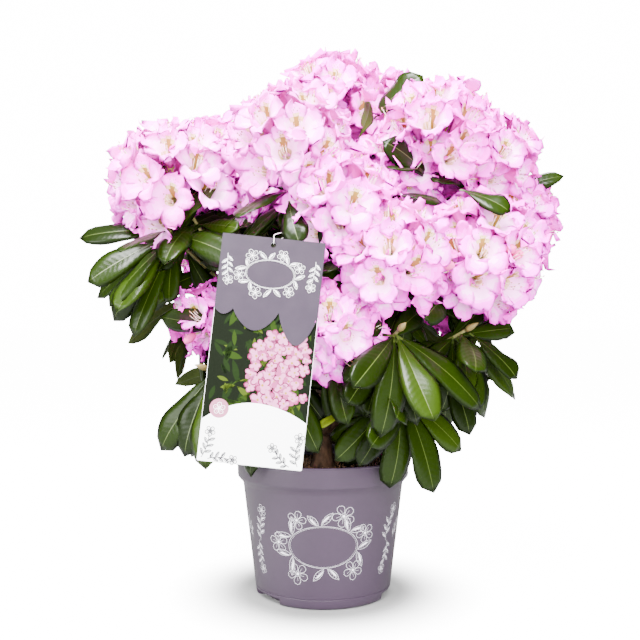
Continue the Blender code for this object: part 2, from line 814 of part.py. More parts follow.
def pierce(made, place):
    """Cuts the eyelet through a plate."""
    bm = bmesh.new()
    bmesh.ops.create_cone(bm, cap_ends=True, segments=12, radius1=EYELET_RADIUS,
                          radius2=EYELET_RADIUS, depth=0.02)
    turn = Matrix.Rotation(math.radians(90), 4, "X")
    shift = Matrix.Translation((0, 0, -EYELET_INSET))
    bmesh.ops.transform(bm, matrix=place @ shift @ turn, verts=bm.verts)
    cutter = add_object("cutter_" + made.name, bm, "card")
    cutter.hide_render = True
    cutter.display_type = "WIRE"
    cut = made.modifiers.new("eyelet", "BOOLEAN")
    cut.operation = "DIFFERENCE"
    cut.solver = "EXACT"
    cut.object = cutter


def make_label(string_line):
    place = label_place()
    card = add_object("label_card", plate(card_outline(LABEL_LENGTH), CARD_THICKNESS, place, 0), "card")
    offset = CARD_THICKNESS + GAP
    flap = add_object("label_flap", plate(flap_outline(), CARD_THICKNESS, place, offset), "flap")
    pierce(card, place)
    pierce(flap, place)
    bm = bmesh.new()
    loop(bm, string_line, STRING_RADIUS, 5)
    add_object("label_string", bm, "string", smooth=True)


def loop(bm, points, radius, sides):
    """A closed ring of tube through the points."""
    count = len(points)
    rings = []
    normal = None
    for index, point in enumerate(points):
        tangent = (points[(index + 1) % count] - points[index - 1]).normalized()
        if normal is None:
            normal = tangent.orthogonal().normalized()
        normal = (normal - tangent * normal.dot(tangent)).normalized()
        other = tangent.cross(normal)
        ring = []
        for side in range(sides):
            angle = 2 * math.pi * side / sides
            offset = normal * math.cos(angle) + other * math.sin(angle)
            ring.append(bm.verts.new(point + offset * radius))
        rings.append(ring)
    first = rings[0]
    shift = min(range(sides), key=lambda step: (first[step].co - rings[-1][0].co).length)
    for index in range(count):
        low, high = rings[index], rings[(index + 1) % count]
        turn = shift if index == count - 1 else 0
        for side in range(sides):
            following = (side + 1) % sides
            bm.faces.new((low[side], low[following],
                          high[(following + turn) % sides], high[(side + turn) % sides]))
    bmesh.ops.recalc_face_normals(bm, faces=bm.faces)


def plan_string(twigs):
    """The string: a loop from the front mass's first shoot through the label's eyelet."""
    line, radii, _ = twigs["front"][1]
    hang, way = along(line, STRING_PLACE)
    place = label_place()
    eyelet = place @ Vector((0, 0, -EYELET_INSET))
    reach = (hang - eyelet).normalized()
    across = way.cross(reach).normalized()
    clear = radii[2] + STRING_RADIUS + GAP
    over = []
    for step in range(7):
        angle = math.radians(-90 + 180 * step / 6)
        over.append(hang + (across * math.sin(angle) + reach * math.cos(angle)) * clear)
    seat = EYELET_RADIUS * 0.96 - EYELET_INSET - STRING_RADIUS - GAP
    front = -2 * CARD_THICKNESS - GAP
    under = [(front - 0.0012, 0.0035), (front - 0.0025, -0.0010), (front - 0.0020, seat + 0.0010),
             (front - 0.0004, seat), (0.0004, seat), (0.0020, seat + 0.0012)]
    under = [place @ Vector((0, y, z)) for y, z in under]
    if (over[-1] - under[0]).length > (over[0] - under[0]).length:
        over.reverse()
    down = [over[-1].lerp(under[0], share) for share in (0.25, 0.5, 0.75)]
    back = [under[-1].lerp(over[0], share) for share in (0.25, 0.5, 0.75)]
    return over + down + under + back


def string_tree(points):
    bm = bmesh.new()
    loop(bm, points, STRING_RADIUS + 0.0015, 5)
    tree = BVHTree.FromBMesh(bm)
    bm.free()
    return tree


def label_tree():
    outline = [(x * 1.03, z * 1.01 + 0.001 if z < 0 else 0.002) for x, z in card_outline(LABEL_LENGTH)]
    bm = plate(outline, 0.008, label_place(), -0.003)
    tree = BVHTree.FromBMesh(bm)
    bm.free()
    return tree


def pot_tree():
    clear = 0.002
    profile = [(0, 0.05), (RIM_RADIUS + clear, 0.05), (RIM_RADIUS + clear, POT_HEIGHT + clear),
               (RIM_RADIUS - POT_WALL - clear, POT_HEIGHT + clear),
               (RIM_RADIUS - POT_WALL - clear, SOIL_TOP + clear), (0, SOIL_TOP + clear)]
    bm = turned(profile, 24)
    tree = BVHTree.FromBMesh(bm)
    bm.free()
    return tree


def main():
    clear_scene()
    ends = plan_ends()
    limbs = plan_limbs(ends)
    twigs = plan_twigs(ends, limbs)
    string_line = plan_string(twigs)
    make_pot()
    make_soil()
    make_limbs(limbs)
    make_label(string_line)
    others = {"label": label_tree(), "string": string_tree(string_line), "pot": pot_tree()}
    make_masses(ends, limbs, twigs, others)


if __name__ == "__main__":
    main()
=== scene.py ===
"""The looks of a potted rhododendron in bloom, built around its packed solids.

The shrub grows here by the rule of the part's source: the same shoots' ends, boughs and
leaves, carried on to full trusses of flowers, stamens, leaf veins and bark.
"""

import math
import random

import bmesh
import bpy
import numpy as np
from mathutils import Matrix, Vector, noise
from mathutils.bvhtree import BVHTree
from mathutils.geometry import interpolate_bezier


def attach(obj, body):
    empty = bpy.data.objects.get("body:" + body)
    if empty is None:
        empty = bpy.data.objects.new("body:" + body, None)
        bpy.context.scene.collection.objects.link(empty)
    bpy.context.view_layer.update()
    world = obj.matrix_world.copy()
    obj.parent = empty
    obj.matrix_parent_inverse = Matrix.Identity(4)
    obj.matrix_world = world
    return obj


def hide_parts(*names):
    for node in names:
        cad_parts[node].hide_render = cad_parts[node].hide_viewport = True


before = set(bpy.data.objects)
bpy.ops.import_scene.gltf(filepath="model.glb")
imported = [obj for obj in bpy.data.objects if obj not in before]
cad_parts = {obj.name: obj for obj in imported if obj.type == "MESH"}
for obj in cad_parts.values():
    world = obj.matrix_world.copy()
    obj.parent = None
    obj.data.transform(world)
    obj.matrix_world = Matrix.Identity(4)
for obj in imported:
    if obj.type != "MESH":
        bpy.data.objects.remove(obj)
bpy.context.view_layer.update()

bl_info = {
    "name": "Potted rhododendron",
    "version": (1, 0, 0),
    "blender": (4, 5, 0),
    "location": "View3D > Sidebar > Shrub",
    "description": "Leaves, blossom, bark, pot, soil and label of a potted rhododendron",
    "category": "Add Mesh",
}

BODY = "root"

# Clearance between neighbouring solids, as in the part
GAP = 0.0003

# Pot, read from the bottom up
POT_SEGMENTS = 360
POT_HEIGHT = 0.181
POT_WALL = 0.002
POT_LIP = 0.0012
# Floor inside the pot, over the drain notches
FALSE_FLOOR = 0.0100
FOOT_RADIUS = 0.0892
FOOT_CHAMFER = 0.0035
SHOULDER_HEIGHT = 0.147
SHOULDER_RADIUS = 0.1065
COLLAR_FOOT_HEIGHT = 0.1556
COLLAR_FOOT_RADIUS = 0.1136
RIM_RADIUS = 0.1150
NOTCH_ANGLES = (213.0, 346.0, 99.0)
NOTCH_WIDTH = 0.058
NOTCH_RISE = 0.0092
NOTCH_DEPTH = 0.0100
# Height over which the notch's top edge slopes
NOTCH_EDGE = 0.0004
SOIL_TOP = 0.163
# What the soil keeps from the pot's wall and floor
SOIL_INSET = 0.0012
SOIL_LIFT = 0.0006

# Trunk
TRUNK_TOP = Vector((0.005, 0.003, 0.305))
TRUNK_RADIUS = 0.0120
TRUNK_TOP_RADIUS = 0.0085
FLARE_RADIUS = 0.0185
FLARE_HEIGHT = 0.026

# Boughs and twigs
MAIN_BOUGH_RADIUS = 0.0062
SIDE_BOUGH_RADIUS = 0.0044
BOUGH_TAPER = 0.62
BOUGH_SHARE = 0.56
BOUGH_LIFT = Vector((0, 0, 0.45))
CURVE_PULL = 0.38
BOUGH_SIDES = 6
BOUGH_RINGS = 6
FOOT_LENGTH = 0.006
STEM_SIDES = 5
TWIG_SIDES = 3
TWIG_RADIUS = 0.0023
TWIG_RINGS = 4
STEM_SHARE = 0.30
FORK_SHARE = 0.55
CORE = Vector((0.0, 0.0, 0.30))
UPTURN = 0.35

# Leaves, as the part plans them
LEAF_LENGTH = 0.118
LEAF_WIDTH = 0.044
LEAF_THICKNESS = 0.0120
PETIOLE_RADIUS = 0.0017
LEAF_STEPS = ((0.36, 0.46, 1.0), (0.76, 0.40, 0.8))
EDGE_LIFT = 0.10
FIRST_POLAR = math.radians(120)
LAST_POLAR = math.radians(35)
TRUSS_LEAVES = 4
WHORL_LEAVES = 12
GOLDEN_ANGLE = math.radians(137.508)
LEAF_FITS = (1.0, 0.86, 0.72)

# Blossom, as the part plans it
FULL_TRUSS = 0.075
FULL_TRUSS_FLOWERS = 7
TUBE_END = 1.25
MOUTH_SHARE = 0.88

# Label
LABEL_TOP = Vector((-0.0548, -0.2000, 0.4520))
LABEL_WIDTH = 0.115
LABEL_LENGTH = 0.252
LABEL_TURN = math.radians(6.0)
LABEL_PITCH = math.radians(5.5)
CARD_THICKNESS = 0.0010
FLAP_LENGTH = 0.083
# Lobes of the flap's lower edge from left to right: share of the width, and depth
FLAP_LOBES = ((0.18, 0.007), (0.44, 0.022), (0.38, 0.034))
EYELET_RADIUS = 0.0030
EYELET_INSET = 0.0080
STRING_RADIUS = 0.0007
STRING_PLACE = 0.52
STRING_PARTS = 3
# The thread's thickness as a share of the solid string's
THREAD_SHARE = 0.6

SEED = 1905
BLOOM = "bloom"
LEAVES = "leaves"
NECK_SHARE = {BLOOM: 0.62, LEAVES: 0.36}

# Masses: name, what the bough grows from, how far along it, and the shoots' ends.
# Each end is blossom or leaves, with the centre of its space and its reach.
MASSES = (
    ("low_left", "trunk", 0.18, (
        (LEAVES, (-0.056, -0.116, 0.304), 0.052),
        (LEAVES, (-0.140, -0.070, 0.298), 0.058))),
    ("low_back", "trunk", 0.27, (
        (BLOOM, (-0.105, 0.165, 0.405), 0.076),
        (LEAVES, (-0.175, 0.060, 0.395), 0.058),
        (LEAVES, (0.035, 0.150, 0.285), 0.055),
        (LEAVES, (-0.110, 0.125, 0.290), 0.055))),
    ("low_front", "trunk", 0.32, (
        (BLOOM, (0.012, -0.150, 0.352), 0.064),
        (LEAVES, (0.084, -0.165, 0.346), 0.056),
        (LEAVES, (0.096, -0.108, 0.270), 0.054))),
    ("low_right", "trunk", 0.40, (
        (LEAVES, (0.170, -0.094, 0.345), 0.062),
        (LEAVES, (0.172, 0.040, 0.318), 0.056))),
    ("back", "trunk", 0.50, (
        (BLOOM, (-0.012, 0.200, 0.505), 0.084),
        (BLOOM, (0.040, 0.185, 0.382), 0.074))),
    ("right", "trunk", 0.55, (
        (BLOOM, (0.192, -0.098, 0.438), 0.090),
        (BLOOM, (0.236, 0.000, 0.492), 0.084),
        (BLOOM, (0.205, 0.055, 0.418), 0.064))),
    ("left", "trunk", 0.60, (
        (BLOOM, (-0.190, -0.060, 0.534), 0.088),
        (LEAVES, (-0.193, -0.080, 0.474), 0.068),
        (BLOOM, (-0.145, -0.045, 0.358), 0.058))),
    ("back_right", "trunk", 0.66, (
        (BLOOM, (0.145, 0.150, 0.535), 0.084),
        (BLOOM, (0.160, 0.135, 0.395), 0.074))),
    ("front", "trunk", 0.72, (
        (BLOOM, (-0.040, -0.135, 0.565), 0.080),
        (BLOOM, (0.024, -0.150, 0.492), 0.074),
        (BLOOM, (0.082, -0.162, 0.430), 0.074))),
    ("upper_left", "trunk", 0.78, (
        (BLOOM, (-0.150, 0.055, 0.580), 0.070),
        (BLOOM, (-0.170, 0.145, 0.500), 0.080),
        (BLOOM, (-0.092, 0.010, 0.525), 0.058))),
    ("upper_right", "bough_right", 0.34, (
        (BLOOM, (0.146, -0.070, 0.590), 0.084),
        (BLOOM, (0.216, -0.050, 0.568), 0.062),
        (BLOOM, (0.088, -0.060, 0.545), 0.066))),
    ("top", "trunk", 1.00, (
        (BLOOM, (0.010, -0.020, 0.640), 0.076),
        (BLOOM, (0.088, 0.066, 0.644), 0.076),
        (BLOOM, (-0.058, 0.105, 0.600), 0.074))),
)

# Leaf shoots of these masses lean forward by the first number, and their leaves hang by the second
LEANS = {"left": (1.0, 0.28), "low_left": (0.4, 1.45), "low_front": (0.3, 0.90),
         "low_right": (0.3, 0.95)}
PLAIN_LEAN = (0.0, 0.90)
BLOOM_LEAN = (0.0, 0.30)
# How far the leaves of these masses roll to show their upper sides to the front
ROLLS = {"left": 1.4, "low_left": 0.9, "low_right": 0.5, "low_front": 0.2, "front": 0.5}

FOLIAGE_NODES = ["foliage_" + row[0] for row in MASSES]
BOUGH_NODES = ["bough_" + row[0] for row in MASSES]

# The full truss: how many flowers a truss of full reach bears, and how they are drawn in
FLOWERS_PER_TRUSS = 22
FULL_SPREAD = math.radians(128)
FULL_FITS = ((1.0, 1.0), (1.0, 0.93), (0.94, 0.86), (0.90, 0.78), (0.84, 0.70), (0.78, 0.62))
INNER_FLOWERS = 8
INNER_SHARES = (0.46, 0.68)
TRUSSES_PER_PIECE = 6
BUDS_PER_TRUSS = 3
STALK_RADII = [0.0011, 0.0010, 0.0013]
FILL_LEAVES = 5
INNER_LEAVES = 5
# How far leaves and flowers may reach into a neighbour's space
LEAF_SLACK = 0.030
FLOWER_SLACK = 0.008
# Width of the plain funnel that looks for room, as a share of its flower's
FUNNEL_SHARE = 0.80
FUNNEL_SIDES = 10
COROLLAS = 8
SIMPLE_COROLLAS = 3


class ShrubSizes(bpy.types.PropertyGroup):
    flower_radius: bpy.props.FloatProperty(
        name="Flower radius", description="Half the width of an open flower",
        default=0.0330, min=0.01, max=0.06, unit="LENGTH")
    leaf_bulge: bpy.props.FloatProperty(
        name="Leaf edge roll", description="How far a leaf's edges roll under, as a share of its width",
        default=0.11, min=0.0, max=0.4, subtype="FACTOR")
    bark_relief: bpy.props.FloatProperty(
        name="Bark relief", description="Depth of the bark's ridges",
        default=0.0009, min=0.0, max=0.004, unit="LENGTH")
    chips: bpy.props.IntProperty(
        name="Soil chips", description="Chips of bark scattered on the soil",
        default=900, min=0, max=3000)


class ShrubColours(bpy.types.PropertyGroup):
    petal: bpy.props.FloatVectorProperty(
        name="Petal", description="Colour of the petals halfway out", subtype="COLOR", size=3,
        min=0.0, max=1.0, default=(1.0, 0.022, 0.86))
    leaf: bpy.props.FloatVectorProperty(
        name="Leaf", description="Colour of a leaf's upper side", subtype="COLOR", size=3,
        min=0.0, max=1.0, default=(0.0062, 0.0132, 0.0006))
    pot: bpy.props.FloatVectorProperty(
        name="Pot", description="Colour of the pot's plastic", subtype="COLOR", size=3,
        min=0.0, max=1.0, default=(0.0275, 0.0168, 0.0305))


def sizes():
    return bpy.context.scene.shrub_sizes


def colours():
    return bpy.context.scene.shrub_colours


# The plan of the shrub, as in the part's source

def curve(start, start_way, end, end_way, rings):
    pull = (end - start).length * CURVE_PULL
    return interpolate_bezier(start, start + start_way * pull, end - end_way * pull, end, rings)


def taper(first, last, count):
    return [first + (last - first) * step / (count - 1) for step in range(count)]


def along(points, share):
    place = share * (len(points) - 1)
    index = min(int(place), len(points) - 2)
    point = points[index].lerp(points[index + 1], place - index)
    return point, (points[index + 1] - points[index]).normalized()


def shoot_way(centre, forward):
    return ((centre - CORE).normalized() + Vector((0, -forward, UPTURN))).normalized()


def plan_ends():
    ends = []
    for name, _, _, rows in MASSES:
        for kind, place, reach in rows:
            centre = Vector(place)
            forward, hang = BLOOM_LEAN if kind == BLOOM else LEANS.get(name, PLAIN_LEAN)
            way = shoot_way(centre, forward)
            neck = centre - way * (NECK_SHARE[kind] * reach)
            ends.append({"mass": name, "kind": kind, "centre": centre, "reach": reach,
                         "way": way, "neck": neck, "hang": hang})
    return ends


def trunk_line():
    foot = Vector((0.0, 0.0, SOIL_TOP + GAP))
    flare = Vector((0.0, 0.0, SOIL_TOP + FLARE_HEIGHT))
    bend = flare.lerp(TRUNK_TOP, 0.5) + Vector((-0.003, 0.002, 0.0))
    points = [foot, foot + Vector((0, 0, 0.006)), foot.lerp(flare, 0.6), flare, bend, TRUNK_TOP]
    radii = [FLARE_RADIUS, FLARE_RADIUS * 0.86, TRUNK_RADIUS * 1.12, TRUNK_RADIUS,
             (TRUNK_RADIUS + TRUNK_TOP_RADIUS) / 2, TRUNK_TOP_RADIUS]
    return points, radii


def trunk_centre(height):
    points, _ = trunk_line()
    for low, high in zip(points, points[1:]):
        if low.z <= height <= high.z:
            return low.lerp(high, (height - low.z) / (high.z - low.z))
    return points[-1]


def plan_limbs(ends):
    points, radii = trunk_line()
    limbs = {"trunk": {"points": points, "radii": radii}}
    for name, parent, share, _ in MASSES:
        necks = [end["neck"] for end in ends if end["mass"] == name]
        aim = sum(necks, Vector()) / len(necks)
        host = limbs[parent]
        if parent == "trunk" and share == 1.0:
            start, way = along(host["points"], 1.0)
            start = start + way * GAP
        elif parent == "trunk":
            start = trunk_centre(SOIL_TOP + share * (TRUNK_TOP.z - SOIL_TOP))
            flat = Vector((aim.x - start.x, aim.y - start.y, 0.0)).normalized()
            way = (flat + BOUGH_LIFT).normalized()
        else:
            start, way = along(host["points"], share)
            way = (way + (aim - start).normalized()).normalized()
        end = start.lerp(aim, BOUGH_SHARE)
        last = ((aim - end).normalized() + BOUGH_LIFT).normalized()
        radius = MAIN_BOUGH_RADIUS if len(necks) > 1 and parent == "trunk" else SIDE_BOUGH_RADIUS
        line = [start, *curve(start + way * FOOT_LENGTH, way, end, last, BOUGH_RINGS - 1)]
        limbs["bough_" + name] = {"points": line,
                                  "radii": taper(radius, radius * BOUGH_TAPER, BOUGH_RINGS)}
    return limbs


def plan_twigs(ends, limbs):
    twigs = {}
    for name, _, _, _ in MASSES:
        limb = limbs["bough_" + name]
        tip, way = along(limb["points"], 1.0)
        radius = limb["radii"][-1]
        own = [end for end in ends if end["mass"] == name]
        aim = sum((end["neck"] for end in own), Vector()) / len(own)
        start = tip + way * GAP
        fork = start + way * (STEM_SHARE * (aim - start).length)
        stem = [start, start.lerp(fork, 0.5), fork]
        lines = [(stem, [radius, radius * 0.95, radius * 0.86], STEM_SIDES)]
        for end in own:
            root = start.lerp(fork, FORK_SHARE)
            line = curve(root, way, end["neck"], end["way"], TWIG_RINGS)
            line = line + [end["centre"] if end["kind"] == BLOOM else end["centre"] + end["way"] * 0.01]
            radii = taper(min(TWIG_RADIUS, radius * 0.8), TWIG_RADIUS * 0.72, len(line))
            lines.append((line, radii, TWIG_SIDES))
        twigs[name] = lines
    return twigs


def ring_of(bm, centre, across, other, radius, sides):
    """A round of points; across and other span its plane."""
    angles = [math.tau * side / sides for side in range(sides)]
    return [bm.verts.new(centre + (across * math.cos(angle) + other * math.sin(angle)) * radius)
            for angle in angles]


def bridge(bm, low, high, shift=0):
    """Faces between two rounds of points."""
    sides = len(low)
    for side in range(sides):
        following = (side + 1) % sides
        bm.faces.new((low[side], low[following],
                      high[(following + shift) % sides], high[(side + shift) % sides]))


def tube(bm, points, radii, sides):
    tangent = (points[1] - points[0]).normalized()
    across = tangent.orthogonal().normalized()
    rings = []
    for index, (point, radius) in enumerate(zip(points, radii)):
        turned = (points[min(index + 1, len(points) - 1)] - points[max(index - 1, 0)]).normalized()
        across = tangent.rotation_difference(turned) @ across
        tangent = turned
        rings.append(ring_of(bm, point, across, tangent.cross(across), radius, sides))
    for low, high in zip(rings, rings[1:]):
        bridge(bm, low, high)
    bm.faces.new(reversed(rings[0]))
    bm.faces.new(rings[-1])


def tree_of(bm):
    tree = BVHTree.FromBMesh(bm)
    bm.free()
    return tree


def tube_tree(lines):
    bm = bmesh.new()
    for points, radii, sides in lines:
        wide = [(radius + 2 * GAP) / math.cos(math.pi / sides) for radius in radii]
        first = points[0] - (points[1] - points[0]).normalized() * 2 * GAP
        last = points[-1] + (points[-1] - points[-2]).normalized() * 2 * GAP
        tube(bm, [first, *points[1:-1], last], wide, sides)
    return tree_of(bm)


class Space:
    """What leaves and flowers keep clear of: other masses' spaces, limbs, pot, label and string."""

    def __init__(self, ends, limbs, twigs, others):
        self.ends = ends
        self.trees = {"boughs": tube_tree([(limb["points"], limb["radii"], BOUGH_SIDES)
                                           for limb in limbs.values()])}
        self.trees.update(others)
        for name, lines in twigs.items():
            self.trees[name] = tube_tree(lines)

    def holds(self, points, own, slack=0.0):
        for end in self.ends:
            if end["mass"] == own["mass"]:
                continue
            apart = end["centre"] - own["centre"]
            span = apart.length
            way = apart / span
            limit = (span + (own["reach"] ** 2 - end["reach"] ** 2) / span) / 2 - GAP + slack
            if any((point - own["centre"]).dot(way) > limit for point in points):
                return False
        return True

    def takes(self, bm, own, slack=0.0):
        if not self.holds([vert.co for vert in bm.verts], own, slack):
            return False
        tree = BVHTree.FromBMesh(bm)
        return not any(name != own["mass"] and tree.overlap(other) for name, other in self.trees.items())


def around(way, polar, turn):
    across = Matrix.Rotation(turn, 3, way) @ way.orthogonal().normalized()
    return way * math.cos(polar) + across * math.sin(polar)


def plain_leaf(root, way, upper, length, width, droop):
    """The part's own plain leaf, which tells whether there is room for one."""
    side = way.cross(upper).normalized()
    upper = side.cross(way).normalized()
    bm = bmesh.new()
    thick = LEAF_THICKNESS * length
    rings = []
    steps = [(0.0, PETIOLE_RADIUS, PETIOLE_RADIUS * 1.6)]
    steps += [(share, width * half, thick * shaded_deep) for share, half, shaded_deep in LEAF_STEPS]
    for share, half, shaded_deep in steps:
        point = root + way * (length * share) - upper * (droop * length * share * share)
        lift = upper * (EDGE_LIFT * half)
        rings.append([bm.verts.new(point + side * half + lift), bm.verts.new(point - side * half + lift),
                      bm.verts.new(point - upper * shaded_deep)])
    tip = bm.verts.new(root + way * length - upper * (droop * length + thick * 0.5))
    for low, high in zip(rings, rings[1:]):
        for index in range(3):
            following = (index + 1) % 3
            bm.faces.new((low[index], high[index], high[following], low[following]))
    for index in range(3):
        bm.faces.new((rings[-1][index], tip, rings[-1][(index + 1) % 3]))
    return bm


def plain_flower(root, mouth, radius):
    """A plain funnel, which tells whether there is room for a flower."""
    way = (mouth - root).normalized()
    depth = (mouth - root).length
    across = way.orthogonal().normalized()
    other = way.cross(across)
    bm = bmesh.new()
    neck = bm.verts.new(root + way * (depth - TUBE_END * radius))
    rim = ring_of(bm, mouth, across, other, radius, FUNNEL_SIDES)
    for index in range(FUNNEL_SIDES):
        bm.faces.new((neck, rim[(index + 1) % FUNNEL_SIDES], rim[index]))
    bm.faces.new(rim)
    return bm


def turned(profile, segments):
    """The profile's radii and heights turned round the pot's axis."""
    bm = bmesh.new()
    rings = []
    for radius, height in profile:
        if radius == 0:
            rings.append([bm.verts.new((0, 0, height))])
            continue
        rings.append([bm.verts.new((radius * math.cos(math.tau * step / segments),
                                    radius * math.sin(math.tau * step / segments), height))
                      for step in range(segments)])
    for low, high in zip(rings, rings[1:]):
        if len(low) > 1 and len(high) > 1:
            bridge(bm, low, high)
            continue
        for step in range(segments):
            following = (step + 1) % segments
            if len(low) == 1:
                bm.faces.new((low[0], high[following], high[step]))
            else:
                bm.faces.new((low[step], low[following], high[0]))
    bmesh.ops.recalc_face_normals(bm, faces=bm.faces)
    return bm


def label_place():
    turn = Matrix.Rotation(LABEL_TURN, 4, "Y") @ Matrix.Rotation(-LABEL_PITCH, 4, "X")
    return Matrix.Translation(LABEL_TOP) @ turn


def plate(outline, thickness, place, offset):
    bm = bmesh.new()
    face = bm.faces.new([bm.verts.new((x, -offset, z)) for x, z in outline])
    made = bmesh.ops.extrude_face_region(bm, geom=[face])
    moved = [item for item in made["geom"] if isinstance(item, bmesh.types.BMVert)]
    bmesh.ops.translate(bm, vec=(0, -thickness, 0), verts=moved)
    bmesh.ops.recalc_face_normals(bm, faces=bm.faces)
    bmesh.ops.transform(bm, matrix=place, verts=bm.verts)
    return bm


def loop(bm, points, radius, sides):
    """A closed tube through the points."""
    count = len(points)
    rings = []
    normal = None
    for index, point in enumerate(points):
        tangent = (points[(index + 1) % count] - points[index - 1]).normalized()
        if normal is None:
            normal = tangent.orthogonal().normalized()
        normal = (normal - tangent * normal.dot(tangent)).normalized()
        rings.append(ring_of(bm, point, normal, tangent.cross(normal), radius, sides))
    shift = min(range(sides), key=lambda step: (rings[0][step].co - rings[-1][0].co).length)
    for low, high in zip(rings, rings[1:]):
        bridge(bm, low, high)
    bridge(bm, rings[-1], rings[0], shift)
    bmesh.ops.recalc_face_normals(bm, faces=bm.faces)


def plan_string(twigs):
    line, radii, _ = twigs["front"][1]
    hang, way = along(line, STRING_PLACE)
    place = label_place()
    eyelet = place @ Vector((0, 0, -EYELET_INSET))
    reach = (hang - eyelet).normalized()
    across = way.cross(reach).normalized()
    clear = radii[2] + STRING_RADIUS + GAP
    over = []
    for step in range(7):
        angle = math.radians(-90 + 180 * step / 6)
        over.append(hang + (across * math.sin(angle) + reach * math.cos(angle)) * clear)
    seat = EYELET_RADIUS * 0.96 - EYELET_INSET - STRING_RADIUS - GAP
    front = -2 * CARD_THICKNESS - GAP
    under = [(front - 0.0012, 0.0035), (front - 0.0025, -0.0010), (front - 0.0020, seat + 0.0010),
             (front - 0.0004, seat), (0.0004, seat), (0.0020, seat + 0.0012)]
    under = [place @ Vector((0, y, z)) for y, z in under]
    if (over[-1] - under[0]).length > (over[0] - under[0]).length:
        over.reverse()
    down = [over[-1].lerp(under[0], share) for share in (0.25, 0.5, 0.75)]
    back = [under[-1].lerp(over[0], share) for share in (0.25, 0.5, 0.75)]
    return over + down + under + back


def keep_clear(string_line):
    """Search trees of the label, the string and the pot, a little larger than real."""
    half = LABEL_WIDTH / 2
    corners = [(-half, 0), (half, 0), (half, -LABEL_LENGTH), (-half, -LABEL_LENGTH)]
    outline = [(x * 1.03, z * 1.01 + 0.001 if z < 0 else 0.002) for x, z in corners]
    string = bmesh.new()
    loop(string, string_line, STRING_RADIUS + 0.0015, 5)
    clear = 0.002
    profile = [(0, 0.05), (RIM_RADIUS + clear, 0.05), (RIM_RADIUS + clear, POT_HEIGHT + clear),
               (RIM_RADIUS - POT_WALL - clear, POT_HEIGHT + clear),
               (RIM_RADIUS - POT_WALL - clear, SOIL_TOP + clear), (0, SOIL_TOP + clear)]
    return {"label": tree_of(plate(outline, 0.008, label_place(), -0.003)),
            "string": tree_of(string), "pot": tree_of(turned(profile, 24))}


def plan_leaves(end, space, rng):
    """The part's leaves of one shoot: root, direction, upper side, length, width and droop."""
    found = []
    bloom = end["kind"] == BLOOM
    count = TRUSS_LEAVES if bloom else WHORL_LEAVES
    for index in range(count):
        share = (index + 0.5) / count
        turn = index * GOLDEN_ANGLE + rng.uniform(-0.25, 0.25)
        if bloom:
            polar = math.radians(rng.uniform(84, 122))
            root = end["neck"] - end["way"] * (0.012 * (1 - share))
        else:
            polar = FIRST_POLAR + (LAST_POLAR - FIRST_POLAR) * share + rng.uniform(-0.14, 0.14)
            root = end["neck"].lerp(end["centre"], share)
        length = LEAF_LENGTH * rng.uniform(0.80, 1.06) * (1.0 if bloom else 1.04)
        width = LEAF_WIDTH * rng.uniform(0.90, 1.08)
        droop = rng.uniform(0.06, 0.30)
        way = (around(end["way"], polar, turn) + Vector((0, 0, -end["hang"]))).normalized()
        fit_leaf(found, end, space, (root, way, end["way"], length, width, droop))
    return found


def fit_leaf(found, end, space, leaf):
    """Takes the leaf at the size that has room, as the part does, or a little into others' space."""
    root, way, upper, length, width, droop = leaf
    for slack in (0.0, LEAF_SLACK):
        for size in LEAF_FITS:
            made = plain_leaf(root, way, upper, length * size, width * size, droop)
            room = space.takes(made, end, slack)
            made.free()
            if room:
                found.append((root, way, upper, length * size, width * size, droop))
                return


def pass_flower_draws(end, rng):
    """The part draws three numbers for each of its flowers before it comes to the leaves."""
    count = max(5, round(FULL_TRUSS_FLOWERS * (end["reach"] / FULL_TRUSS) ** 2))
    for _ in range(count):
        rng.uniform(-0.2, 0.2)
        rng.uniform(0, math.tau)


def plan_flowers(end, space, rng):
    """Root, mouth and radius of each flower over the truss's dome, drawn in where room is short."""
    found = []
    reach = end["reach"]
    count = max(8, round(FLOWERS_PER_TRUSS * (reach / FULL_TRUSS) ** 1.6))
    radius = sizes().flower_radius * min(1.0, 0.55 + 0.45 * reach / FULL_TRUSS)
    for index in range(count):
        level = 1 - (index + 0.5) / count * (1 - math.cos(FULL_SPREAD))
        turn = index * GOLDEN_ANGLE + rng.uniform(-0.25, 0.25)
        way = around(end["way"], math.acos(level), turn)
        root = end["neck"].lerp(end["centre"], 0.15 + 0.75 * (level + 1) / 2)
        own = radius * rng.uniform(0.93, 1.07)
        far = rng.uniform(0.95, 1.03)
        for size, out in FULL_FITS:
            mouth = end["centre"] + way * (reach * MOUTH_SHARE * out * far)
            made = plain_flower(root, mouth, own * size * FUNNEL_SHARE)
            room = space.takes(made, end, slack=FLOWER_SLACK)
            made.free()
            if room:
                found.append((root, mouth, own * size))
                break
    return found


def plan_inner_flowers(end, space, rng):
    """Flowers deeper in the truss, which show between the outer ones."""
    found = []
    for index in range(INNER_FLOWERS):
        level = 1 - (index + 0.5) / INNER_FLOWERS * (1 - math.cos(FULL_SPREAD))
        way = around(end["way"], math.acos(level), index * GOLDEN_ANGLE + 2.0)
        root = end["neck"].lerp(end["centre"], 0.25)
        mouth = end["centre"] + way * (end["reach"] * rng.uniform(*INNER_SHARES))
        radius = sizes().flower_radius * rng.uniform(0.80, 0.95)
        made = plain_flower(root, mouth, radius * FUNNEL_SHARE)
        if space.takes(made, end, slack=FLOWER_SLACK):
            found.append((root, mouth, radius))
        made.free()
    return found


